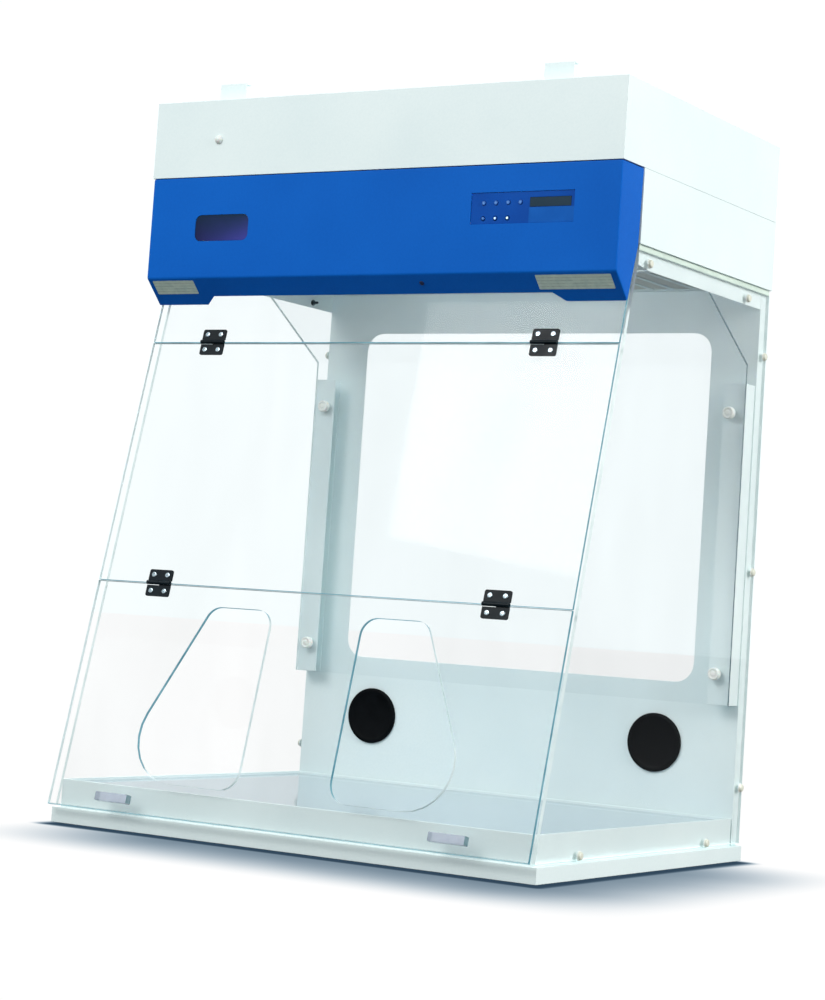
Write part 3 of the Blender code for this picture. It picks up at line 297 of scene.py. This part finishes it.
def label_paper(name):
    """Satin polyester label, blank but for the mottling of its ink and adhesive."""
    p = Paint(name)
    paper = p.blend(p.remap(p.noise(90.0, 4.0), 0.0, 1.0), rgb(208, 222, 208), rgb(184, 204, 194))
    rules = p.add("ShaderNodeTexWave", {"Vector": p.place(), "Scale": 62.0, "Distortion": 0.0},
                  bands_direction='Y').outputs["Fac"]
    line = p.math("MULTIPLY", p.math("GREATER_THAN", rules, 0.86), p.remap(p.noise(130.0, 2.0), 0.0, 0.55))
    base = p.blend(line, paper, rgb(112, 128, 122))
    return p.finish(p.principled(base, p.remap(p.noise(60.0, 3.0), 0.3, 0.45),
                                 Normal=p.bump(p.noise(500.0, 2.0), 0.08, 0.0002)))


def fibre(name, color, shade):
    """Pleated filter paper or foam."""
    p = Paint(name)
    base = p.blend(p.remap(p.noise(400.0, 5.0), 0.0, 1.0), color, shade)
    fold = p.add("ShaderNodeTexWave", {"Vector": p.place(), "Scale": 55.0, "Distortion": 0.6},
                 bands_direction='X').outputs["Fac"]
    rough = p.bump(p.noise(900.0, 4.0), 0.5, 0.0006)
    return p.finish(p.principled(base, 0.95, Normal=p.bump(fold, 0.6, 0.003, rough)))


def granules(name):
    """Bed of carbon pellets behind a mesh, with painted light and shade: each pellet lighter in its middle
    and darker towards the gaps round it.
    """
    p = Paint(name)
    cells = p.add("ShaderNodeTexVoronoi", {"Vector": p.place(), "Scale": 330.0})
    # painted light and shade: lighter in each pellet's middle, darker in the gaps between pellets
    base = p.blend(cells.outputs["Distance"], rgb(58, 60, 62), rgb(16, 17, 18))
    return p.finish(p.principled(base, 0.7, Normal=p.bump(cells.outputs["Distance"], 0.8, 0.002)))


def rubber_disc(name):
    """Moulded rubber plug with a fine grain and faint bloom."""
    p = Paint(name)
    base = p.blend(p.remap(p.noise(45.0, 4.0), 0.0, 1.0), rgb(4, 6, 9), rgb(10, 13, 16))
    grain = p.bump(p.noise(800.0, 3.0), 0.25, 0.0004)
    return p.finish(p.principled(base, p.remap(p.noise(30.0, 4.0), 0.42, 0.62), Normal=grain,
                                 Specular_IOR_Level=0.06))


def key_cap(name, centre, radius):
    """Domed membrane key: a pale spot in the middle, a darker ring round it."""
    p = Paint(name)
    ragged = p.remap(p.noise(500.0, 3.0), -0.06, 0.06)
    reach = p.math("ADD", p.math("DIVIDE", p.distance(centre), radius), ragged)
    outer = p.blend(p.remap(reach, 0.0, 1.0, (0.62, 0.80)), rgb(26, 92, 178), rgb(8, 60, 138))
    base = p.blend(p.remap(reach, 0.0, 1.0, (0.25, 0.55)), rgb(92, 146, 214), outer)
    return p.finish(p.principled(base, p.remap(p.noise(60.0, 3.0), 0.30, 0.42), Specular_IOR_Level=0.3,
                                 Normal=p.bump(p.noise(1500.0, 2.0), 0.05, 0.0002)))


def panel_film(name, edge_x, edge_z):
    """Printed film on the control panel, a touch paler below the display."""
    p = Paint(name)
    place = p.add("ShaderNodeSeparateXYZ", {0: p.coords.outputs["Object"]})
    beside = p.math("GREATER_THAN", place.outputs["X"], edge_x)
    below = p.math("LESS_THAN", place.outputs["Z"], edge_z)
    plain = p.blend(p.remap(p.noise(24.0, 3.0), 0.0, 1.0), rgb(8, 79, 172), rgb(6, 71, 160))
    pale = p.blend(p.remap(p.noise(40.0, 3.0), 0.0, 1.0), rgb(18, 96, 186), rgb(12, 88, 176))
    base = p.blend(p.math("MULTIPLY", beside, below), plain, pale)
    return p.finish(p.principled(base, p.remap(p.noise(30.0, 4.0), 0.28, 0.40), Specular_IOR_Level=0.06,
                                 Normal=p.bump(p.noise(2200.0, 2.0), 0.04, 0.0002)))


def studio_floor(name):
    """White sweep with a painted dark contact line and a painted soft shadow round the plinth, which no light
    casts; it bounces less light than the camera sees.
    """
    p = Paint(name)
    low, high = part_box("base_pan")
    place = p.add("ShaderNodeSeparateXYZ", {0: p.coords.outputs["Object"]})
    squares = []
    falls = []
    for axis, near, far, shift in zip("XY", low, high, SHADOW_SHIFT):
        from_middle = p.math("SUBTRACT", place.outputs[axis], (near + far) / 2)
        outside = p.math("SUBTRACT", p.math("ABSOLUTE", from_middle), (far - near) / 2)
        past = p.math("MAXIMUM", outside, 0.0)
        squares.append(p.math("POWER", p.math("DIVIDE", past, CONTACT_REACH), 2.0))
        shifted = p.math("ABSOLUTE", p.math("SUBTRACT", from_middle, shift))
        inside = p.math("SUBTRACT", (far - near) / 2, shifted)
        soft = {"Value": inside, "From Min": -SHADOW_SOFT, "From Max": SHADOW_SOFT}
        falls.append(p.add("ShaderNodeMapRange", soft, interpolation_type='SMOOTHSTEP').outputs[0])
    # painted contact shadow: a thin dark line hugging the plinth's footprint
    contact = p.math("EXPONENT", p.math("MULTIPLY", p.math("ADD", *squares), -1.0))
    # painted soft shadow: the footprint shifted to the front right and softened, in place of a shadow cast by
    # a light
    cast = p.math("MULTIPLY", p.math("MULTIPLY", *falls), p.remap(p.noise(6.0, 3.0), 0.50, 0.54))
    closed = p.math("MAXIMUM", contact, cast)
    # the painted shade multiplies up like tinted glass, which keeps its half tones slate blue
    channels = {channel: p.math("MULTIPLY", p.math("POWER", dark, closed), 1.02)
                for channel, dark in zip(("Red", "Green", "Blue"), rgb(52, 72, 90))}
    seen = p.add("ShaderNodeCombineColor", channels).outputs[0]
    white = p.add("ShaderNodeEmission", {"Color": seen})
    matt = p.add("ShaderNodeBsdfDiffuse", {"Color": (FLOOR_BOUNCE, FLOOR_BOUNCE, FLOOR_BOUNCE, 1.0)})
    camera_ray = p.add("ShaderNodeLightPath").outputs["Is Camera Ray"]
    return p.finish(p.add("ShaderNodeMixShader", {0: camera_ray, 1: matt.outputs[0], 2: white.outputs[0]}))


WHITE = powder_coat("white_powder_coat", rgb(231, 243, 243), rgb(223, 237, 238), strength=0.02, gloss=0.35)
BLUE = powder_coat("blue_powder_coat", rgb(15, 100, 198), rgb(11, 92, 187), grain=1200.0, strength=0.08,
                   gloss=0.04)
SASH = clear_sheet("clear_sash", [OUT])
# the lower sash carries the painted image of its bottom edge
SASH_FOOT = clear_sheet("clear_sash_lower", [OUT], foot=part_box("sash_lower")[0])
GRIP = cast_grip("milky_grip", X)
# the side walls' edges are all painted pale as if lit
WALLS = clear_sheet("clear_wall", [X], pale_edges=True)
PANE = clear_sheet("clear_pane", [Y])
BAFFLE = clear_sheet("clear_baffle", [Y, Z], (0.985, 0.990, 0.992, 1.0),
                     edges=(rgb(66, 92, 102), rgb(50, 76, 86)), painted_down_glow=0.0)
WORKTOP = gloss_worktop("gloss_worktop")
RUBBER = rubber_disc("black_rubber")
HINGE = moulded("hinge_black", rgb(3, 12, 18), rgb(8, 24, 32), (0.30, 0.44), 1000.0, 0.10,
                Specular_IOR_Level=0.15)
SCREW = brushed_metal("screw_steel", rgb(188, 204, 212), (0.18, 0.32), (1.0, 1.0, 1.0))
ZINC = brushed_metal("zinc_plate", rgb(176, 180, 182))
KNOB = moulded("white_nylon", rgb(236, 238, 234), rgb(226, 229, 224), (0.35, 0.5), 1200.0, 0.08,
               Subsurface_Weight=0.1)
# seal where the head meets the side panels; its grey-green is partly painted shade, standing for the shade in
# that gap
SEAL_WITH_GAP_SHADE = moulded("seal_with_painted_gap_shade", rgb(222, 238, 228), rgb(204, 222, 212), (0.7, 0.9), 1500.0, 0.4)
CAP = moulded("screw_cap", rgb(226, 228, 214), rgb(206, 206, 190), (0.3, 0.45), 900.0, 0.06)
DARK_NUT = brushed_metal("dark_nut", rgb(70, 84, 90), (0.3, 0.45), (1.0, 1.0, 1.0))
COVER_SCREW = moulded("dark_blue_screw", rgb(10, 34, 84), rgb(8, 26, 66), (0.3, 0.45), 900.0, 0.06)
BLACK = moulded("black_plastic", rgb(20, 21, 23), rgb(30, 31, 33), (0.3, 0.45))
BOARD = moulded("circuit_board", rgb(12, 84, 48), rgb(10, 70, 40), (0.3, 0.45))
LABEL = label_paper("label_blank")
PREFILTER = fibre("prefilter_fibre", rgb(232, 234, 228), rgb(212, 216, 208))
CARBON = granules("carbon_bed")
LAMP = moulded("lamp_housing", rgb(238, 240, 240), rgb(230, 233, 233), (0.25, 0.35))
LCD = moulded("display_glass", rgb(30, 56, 72), rgb(24, 50, 70), (0.12, 0.22), 600.0, 0.02,
              Specular_IOR_Level=0.2)


# ---------------------------------------------------------------- dressing the CAD nodes
def node_names(*starts):
    return [name for name in NODES if name.startswith(starts)]


def shade_by_area(obj, sharp=40.0):
    """Smooth shading that keeps wide faces flat and breaks at sharp edges."""
    for face in obj.data.polygons:
        face.use_smooth = True
    split = obj.modifiers.new("sharp_edges", 'EDGE_SPLIT')
    split.split_angle = math.radians(sharp)
    split.use_edge_sharp = False
    weighted = obj.modifiers.new("weighted_normals", 'WEIGHTED_NORMAL')
    weighted.mode = 'FACE_AREA'
    weighted.weight = 100


def dress(names, material, edge=0.0, segments=2, angle=35.0):
    """Give CAD nodes a finish; edge is the width of the rounding that catches the light."""
    for name in names:
        node = NODES[name]
        node.data.materials.clear()
        node.data.materials.append(material)
        bpy.context.view_layer.objects.active = node
        bpy.ops.mesh.customdata_custom_splitnormals_clear()
        weld = node.modifiers.new("weld", 'WELD')
        weld.merge_threshold = 0.00002
        if edge:
            rounding = node.modifiers.new("edge", 'BEVEL')
            rounding.width = edge
            rounding.segments = segments
            rounding.limit_method = 'ANGLE'
            rounding.angle_limit = math.radians(angle)
        shade_by_area(node)


def front_middle(name):
    """Middle of a node's front face, and half its width."""
    low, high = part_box(name)
    return Vector(((low.x + high.x) / 2, low.y, (low.z + high.z) / 2)), (high.x - low.x) / 2


dress(["base_pan"], WHITE, 0.0004)
dress(["work_surface"], WORKTOP, 0.0004)
dress(node_names("foot_"), RUBBER, 0.0004)
dress(["back_panel"], WHITE, 0.0004)
dress(["back_window"], PANE)
dress(node_names("port_plug"), RUBBER)
dress(node_names("side_panel"), WALLS)
dress(node_names("joint_strip"), SEAL_WITH_GAP_SHADE, 0.0006)
dress(["baffle"], BAFFLE)
dress(node_names("baffle_bracket"), WHITE, 0.0005)
dress(["sash_top", "sash_middle"], SASH)
dress(["sash_lower"], SASH_FOOT)
dress(node_names("sash_grip"), GRIP)
dress(node_names("hinge_"), HINGE, 0.0003)
dress(["head_body", "filter_housing", "filter_lid", "intake_grille"], WHITE, 0.0006)
dress(["fan_plate", "fan_motor", "motor_bridge"], ZINC)
dress(["fan_impeller", "power_inlet"], BLACK)
dress(["prefilter"], PREFILTER)
dress(["main_filter"], CARBON)
dress(["front_cover"], BLUE)
low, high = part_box("display")
dress(["control_panel"], panel_film("panel_film", low.x - 0.001, low.z - 0.001), 0.0003)
dress(["display"], LCD, 0.0003)
dress(["control_board"], BOARD)
dress(["lamp_batten"], LAMP, 0.001)
for key in node_names("key_"):
    dress([key], key_cap(key + "_cap", *front_middle(key)))
dress(["sample_plug"], KNOB)
dress(node_names("thumb_screw"), KNOB)
low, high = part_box("status_window")
half = (high - low) / 2
dress(["status_window"], smoked_lens("smoked_lens", (low + high) / 2, half.x, half.z), 0.0004)
LAMPS = (("indicator_1", rgb(84, 140, 208), 0.05), ("indicator_2", rgb(190, 224, 255), 0.9),
         ("indicator_3", rgb(214, 255, 236), 1.0))
for lamp, core, strength in LAMPS:
    dress([lamp], indicator(lamp + "_glow", *front_middle(lamp), core, strength))


# ---------------------------------------------------------------- detail pieces
def place_by(x_axis, y_axis, z_axis, origin):
    matrix = Matrix.Identity(4)
    for column, axis in enumerate((x_axis, y_axis, z_axis, origin)):
        for row in range(3):
            matrix[row][column] = axis[row]
    return matrix


def facing(normal, origin, spin=0.0):
    """Matrix whose local Z points along normal."""
    z = Vector(normal).normalized()
    x = X if abs(z.x) < 0.9 else Y
    x = (x - z * x.dot(z)).normalized()
    return place_by(x, z.cross(x), z, origin) @ Matrix.Rotation(spin, 4, 'Z')


def piece(name, bm, material, matrix, body, smooth=True):
    bmesh.ops.recalc_face_normals(bm, faces=bm.faces)
    mesh = bpy.data.meshes.new(name)
    bm.to_mesh(mesh)
    bm.free()
    obj = bpy.data.objects.new(name, mesh)
    bpy.context.scene.collection.objects.link(obj)
    obj.matrix_world = matrix
    mesh.materials.append(material)
    if smooth:
        shade_by_area(obj)
    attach(obj, body)
    return obj


def rings_mesh(rings):
    """Skin through closed rings of points, from the first to the last, with both ends capped."""
    bm = bmesh.new()
    loops = [[bm.verts.new(point) for point in ring] for ring in rings]
    for a, b in zip(loops, loops[1:]):
        count = len(a)
        for i in range(count):
            j = (i + 1) % count
            bm.faces.new((a[i], a[j], b[j], b[i]))
    bm.faces.new(loops[0])
    bm.faces.new(loops[-1])
    return bm


def ring_of(radius_at, z, steps):
    """Closed ring of points at height z; radius_at is a radius, or a function of the angle."""
    points = []
    for i in range(steps):
        angle = 2 * math.pi * i / steps
        r = radius_at(angle) if callable(radius_at) else radius_at
        points.append((r * math.cos(angle), r * math.sin(angle), z))
    return points


def cross_radius(angle, arm, half_width):
    """Distance from the middle to the outline of a plus-shaped recess."""
    folded = abs((angle + math.pi / 4) % (math.pi / 2) - math.pi / 4)
    along = arm / math.cos(folded)
    across = half_width / max(math.sin(folded), 1e-6)
    return min(along, max(across, half_width * 1.2))


def hex_radius(angle, flat):
    folded = (angle + math.pi / 6) % (math.pi / 3) - math.pi / 6
    return flat / math.cos(folded)


def screw_head(radius, height, drive, steps=48):
    """Domed head: drive is "cross" for a cross recess or "plain" for none."""
    def recess(scale=1.0):
        return lambda angle: scale * cross_radius(angle, 0.58 * radius, 0.13 * radius)

    profile = [(0.86 * radius, 0.0), (radius, 0.05 * height), (radius, 0.30 * height)]
    for t in (0.45, 0.62, 0.78, 0.90, 0.97):
        swell = math.sqrt(1.0 - t * t)
        profile.append((max(radius * (0.55 + 0.45 * swell), 0.62 * radius), (0.30 + 0.70 * t) * height))
    if drive == "plain":
        profile.append((0.45 * radius, height))
    else:
        profile += [(recess(1.06), height), (recess(), 0.93 * height), (recess(0.8), 0.35 * height)]
    return rings_mesh([ring_of(radius_at, z, steps) for radius_at, z in profile])


def washer(radius, inner, height, steps=40):
    edge = min(0.3 * height, 0.0004)
    profile = [(inner, 0.0), (radius - edge, 0.0), (radius, edge), (radius, height - edge),
               (radius - edge, height), (inner, height)]
    return rings_mesh([ring_of(r, z, steps) for r, z in profile])


def threaded_end(radius, length, pitch=0.0008, steps=28):
    """End of a machine screw: shallow thread grooves and a chamfered tip."""
    profile = [(radius, 0.0)]
    for turn in range(int(length / pitch) - 1):
        profile.append((0.84 * radius, (turn + 0.5) * pitch))
        profile.append((radius, (turn + 1.0) * pitch))
    profile.append((0.72 * radius, length))
    return rings_mesh([ring_of(r, z, steps) for r, z in profile])


def hex_nut(flat, height, steps=48):
    """Hexagon nut with chamfered corners, closed behind the screw's end."""
    def outline(corner):
        return lambda angle: min(hex_radius(angle, flat), corner)

    profile = [(outline(1.04 * flat), 0.0), (outline(1.2 * flat), 0.12 * height),
               (outline(1.2 * flat), 0.88 * height), (outline(1.02 * flat), height)]
    return rings_mesh([ring_of(radius_at, z, steps) for radius_at, z in profile])


def label_mesh(width, height, thickness=0.0002, radius=0.0015, steps=4):
    outline = []
    for corner, (sx, sy) in enumerate(((1, 1), (-1, 1), (-1, -1), (1, -1))):
        for step in range(steps + 1):
            angle = math.pi / 2 * (corner + step / steps)
            outline.append((sx * (width / 2 - radius) + radius * math.cos(angle),
                            sy * (height / 2 - radius) + radius * math.sin(angle)))
    return rings_mesh([[(x, y, 0.0) for x, y in outline], [(x, y, thickness) for x, y in outline]])


def fluted_knob(radius, height, shank_radius, shank_length, flutes=18, per_flute=6):
    """Hand screw: a fluted grip with a dished face and a raised middle, on a plain shank."""
    def fluted(r, depth):
        return lambda angle: r - depth * (0.5 - 0.5 * math.cos(flutes * angle))

    dent = 0.055 * radius
    profile = [(shank_radius, -shank_length), (shank_radius, 0.0), (0.82 * radius, 0.0),
               (fluted(0.95 * radius, dent / 2), 0.06 * height), (fluted(radius, dent), 0.18 * height),
               (fluted(radius, dent), 0.80 * height), (fluted(0.95 * radius, dent / 2), 0.93 * height),
               (0.86 * radius, height), (0.70 * radius, 0.99 * height), (0.62 * radius, 0.90 * height),
               (0.40 * radius, 0.90 * height), (0.34 * radius, 0.97 * height), (0.20 * radius, height)]
    return rings_mesh([ring_of(radius_at, z, flutes * per_flute) for radius_at, z in profile])


LIFT = 0.0001                # pieces stand this far off the face they sit on
LEAF_FACE = -0.001           # outer face of a hinge leaf, measured out from the hinge axis
LEAF_SCREW = 0.012           # from the middle of a leaf's edge to its screws, along and across


def hinge_screws(line, axis_point, lower_body, upper_body):
    """Four cross-head screws in each hinge of one hinge line."""
    for side, _ in SIDES:
        low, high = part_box("hinge_" + line + "_" + side + "_top")
        for row, step, body in (("top", 1, upper_body), ("bottom", -1, lower_body)):
            for letter, column in (("_a", -1), ("_b", 1)):
                origin = axis_point + UP_SLOPE * (step * LEAF_SCREW) + OUT * (LEAF_FACE + LIFT)
                origin.x = (low.x + high.x) / 2 + column * LEAF_SCREW
                turn = 0.5 + 0.7 * column + 0.9 * step + (0.3 if side == "left" else 1.1)
                name = "hinge_screw_" + line + "_" + side + "_" + row + letter
                piece(name, screw_head(0.0040, 0.0012, "cross"), SCREW, facing(OUT, origin, turn), body)


PANEL_LOW, PANEL_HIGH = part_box("side_panel_right")
RIM_LOW, RIM_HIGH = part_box("base_pan")
RIM_SHARES = (0.19, 0.81)                # along the base rim, from its front end
COLUMN_SHARES = (0.10, 0.49, 0.886)      # up the rear column
FLANGE_SHARES = (0.35, 0.875)            # along the head's flange, from the side panel's front end


def side_screw_places():
    """y and z of the screws of one side panel: base rim, rear column, then the head's flange."""
    places = []
    for share in RIM_SHARES:
        places.append((RIM_LOW.y + share * (RIM_HIGH.y - RIM_LOW.y), PANEL_LOW.z + 0.0055))
    for share in COLUMN_SHARES:
        places.append((PANEL_HIGH.y - 0.0085, PANEL_LOW.z + share * (PANEL_HIGH.z - PANEL_LOW.z)))
    for share in FLANGE_SHARES:
        places.append((PANEL_LOW.y + share * (PANEL_HIGH.y - PANEL_LOW.y), PANEL_HIGH.z - 0.0145))
    return places


WASHER_H = 0.0012
NUT_H = 0.0032
FLANGE_SKIN = 0.0018         # from a side panel's inner face to the inner face of the head's flange


def side_screws(side, sign):
    """Domed screws with washers, through a side panel."""
    outward = X * sign
    face = PANEL_HIGH.x + LIFT
    for i, (y, z) in enumerate(side_screw_places()):
        stem = "side_screw_" + side + "_" + str(i + 1)
        piece(stem + "_washer", washer(0.0066, 0.0020, WASHER_H), KNOB,
              facing(outward, Vector((sign * face, y, z))), "hood")
        piece(stem, screw_head(0.0056, 0.0038, "plain"), CAP,
              facing(outward, Vector((sign * (face + WASHER_H), y, z)), 0.35 * i), "hood")


def flange_nuts(side, sign):
    """Nuts and screw ends on the inner face of the head's flange."""
    inward = X * -sign
    face = PANEL_LOW.x - FLANGE_SKIN
    for i, (y, z) in enumerate(side_screw_places()[-len(FLANGE_SHARES):]):
        stem = "flange_nut_" + side + "_" + str(i + 1)
        piece(stem, hex_nut(0.0042, NUT_H), DARK_NUT,
              facing(inward, Vector((sign * (face - LIFT), y, z)), 0.2 + i), "hood")
        piece(stem + "_screw_end", threaded_end(0.0022, 0.0080), DARK_NUT,
              facing(inward, Vector((sign * (face - NUT_H), y, z))), "hood")


# the cover's slanted underside runs from the bend below its front face to its two feet
COVER_LOW, COVER_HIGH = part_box("front_cover")
SKIRT_RISE = 0.0355
SKIRT_RUN = 0.0365
BEND = Vector((0.0, COVER_LOW.y, COVER_LOW.z + SKIRT_RISE))
DOWN_SKIRT = Vector((0.0, SKIRT_RUN, -SKIRT_RISE)).normalized()
SKIRT_NORMAL = DOWN_SKIRT.cross(X)


def on_skirt(x, down):
    """Matrix on the slanted underside: X across, Y up the slope, Z out of it."""
    origin = BEND + DOWN_SKIRT * down + SKIRT_NORMAL * LIFT
    origin.x = x
    return place_by(X, -DOWN_SKIRT, SKIRT_NORMAL, origin)


def cover_labels():
    """Two blank labels near the ends of the underside, and a screw between them."""
    label_h = 0.025
    drop = 0.0175
    for name, start, inset, width in (("label_left", COVER_LOW.x, 0.009, 0.076),
                                      ("label_right", COVER_HIGH.x, -0.0105, -0.117)):
        middle = start + inset + width / 2
        piece(name, label_mesh(abs(width), label_h), LABEL, on_skirt(middle, drop), "hood",
              False)
    piece("cover_screw", screw_head(0.0036, 0.0016, "cross"), COVER_SCREW, on_skirt(0.085, 0.016), "hood")


SHANK_R = 0.0025
SHANK_BEHIND = 0.0133        # from a thumb screw's head to the end of its shank


def hand_screws():
    """Fluted hand screws in place of the plain thumb screws."""
    for name in node_names("thumb_screw"):
        low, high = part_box(name)
        back_of_head = high.y - SHANK_BEHIND
        centre = Vector(((low.x + high.x) / 2, back_of_head, (low.z + high.z) / 2))
        shape = fluted_knob((high.x - low.x) / 2, back_of_head - low.y, SHANK_R, SHANK_BEHIND)
        knob = piece(name + "_knob", shape, KNOB, facing(-Y, centre), name)
        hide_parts(name)


def inlet_blades():
    """Bare metal on the three blades in the mains inlet's well."""
    NODES["power_inlet"].data.materials.append(SCREW)
    low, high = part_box("power_inlet")
    middle_x = (low.x + high.x) / 2
    middle_z = (low.z + high.z) / 2
    for face in NODES["power_inlet"].data.polygons:
        across = abs(face.center.x - middle_x)
        on_blade = across < 0.0012 or abs(across - 0.007) < 0.0012
        upright = abs(face.center.z - middle_z) < 0.006
        if on_blade and upright and high.y - 0.017 < face.center.y < high.y - 0.0035:
            face.material_index = 1


hinge_screws("upper", UPPER_AXIS, "sash_middle", "hood")
hinge_screws("lower", LOWER_AXIS, "sash_lower", "sash_middle")
for side, sign in SIDES:
    side_screws(side, sign)
for side, sign in SIDES:
    flange_nuts(side, sign)
cover_labels()
hand_screws()
inlet_blades()


# ---------------------------------------------------------------- floor, light and camera
def floor():
    bm = bmesh.new()
    bmesh.ops.create_grid(bm, x_segments=2, y_segments=2, size=30.0)
    mesh = bpy.data.meshes.new("floor")
    bm.to_mesh(mesh)
    bm.free()
    obj = bpy.data.objects.new("floor", mesh)
    bpy.context.scene.collection.objects.link(obj)
    mesh.materials.append(studio_floor("studio_floor"))


def area_light(name, position, target, size, energy, color=(1.0, 0.985, 0.97), seen=True):
    data = bpy.data.lights.new(name, 'AREA')
    data.shape = 'RECTANGLE'
    data.size, data.size_y = size
    data.energy = energy
    data.color = color
    light = bpy.data.objects.new(name, data)
    bpy.context.scene.collection.objects.link(light)
    light.location = position
    light.rotation_euler = (Vector(target) - Vector(position)).to_track_quat('-Z', 'Y').to_euler()
    if not seen:
        light.visible_camera = False
        light.visible_glossy = False


def hood_lamp():
    """The hood's own lamp, behind the blue cover, lights the upper part of the back wall."""
    low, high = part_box("lamp_batten")
    wall = Vector((0.0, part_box("back_panel")[0].y, 0.80))
    below = Vector((0.0, high.y + 0.01, low.z - 0.02))
    area_light("hood_lamp", below, wall, (high.x - low.x, 0.03), 1.0, (1.0, 1.0, 1.0), seen=False)


def world(color, ambient, backdrop):
    """Even studio light; the backdrop itself is seen brighter than the light it gives."""
    scene_world = bpy.data.worlds.new("studio")
    bpy.context.scene.world = scene_world
    scene_world.use_nodes = True
    tree = scene_world.node_tree
    background = tree.nodes["Background"]
    background.inputs["Color"].default_value = color
    seen = tree.nodes.new("ShaderNodeLightPath").outputs["Is Camera Ray"]
    strength = tree.nodes.new("ShaderNodeMapRange")
    strength.inputs["To Min"].default_value = ambient
    strength.inputs["To Max"].default_value = backdrop
    tree.links.new(seen, strength.inputs["Value"])
    tree.links.new(strength.outputs[0], background.inputs["Strength"])


EYE = Vector((1.9219, -3.1294, 0.3375))
YAW, PITCH, ROLL = (math.radians(angle) for angle in (31.89, 4.91, 3.88))


def camera():
    """Low eye, in front and to the right, looking slightly up, with the camera rolled."""
    forward = Vector((-math.sin(YAW) * math.cos(PITCH), math.cos(YAW) * math.cos(PITCH), math.sin(PITCH)))
    level = Vector((math.cos(YAW), math.sin(YAW), 0.0))
    up = level.cross(forward)
    right = math.cos(ROLL) * level + math.sin(ROLL) * up
    top = math.cos(ROLL) * up - math.sin(ROLL) * level
    data = bpy.data.cameras.new("camera")
    data.lens = 89.16
    data.sensor_width = 36.0
    data.shift_y = -0.10
    data.clip_end = 100.0
    eye = bpy.data.objects.new("camera", data)
    bpy.context.scene.collection.objects.link(eye)
    eye.matrix_world = place_by(right, top, -forward, EYE)
    bpy.context.scene.camera = eye


floor()
world((0.94, 0.99, 1.0, 1.0), 0.84, 1.07)
area_light("front", (-1.2, -3.6, 3.0), (0.0, 0.0, 0.5), (2.2, 1.6), 95.0)
area_light("right", (3.9, -0.1, 1.7), (0.0, 0.0, 0.6), (2.2, 2.2), 105.0, (1.0, 0.975, 0.955))
area_light("rear_left", (-2.6, 3.2, 2.2), (0.0, 0.0, 0.55), (2.4, 1.8), 58.0)
hood_lamp()
camera()

cycles = bpy.context.scene.cycles
cycles.max_bounces = 12
cycles.diffuse_bounces = 9
cycles.glossy_bounces = 3
cycles.transparent_max_bounces = 28

view = bpy.context.scene.view_settings
view.view_transform = 'Standard'
view.look = 'None'
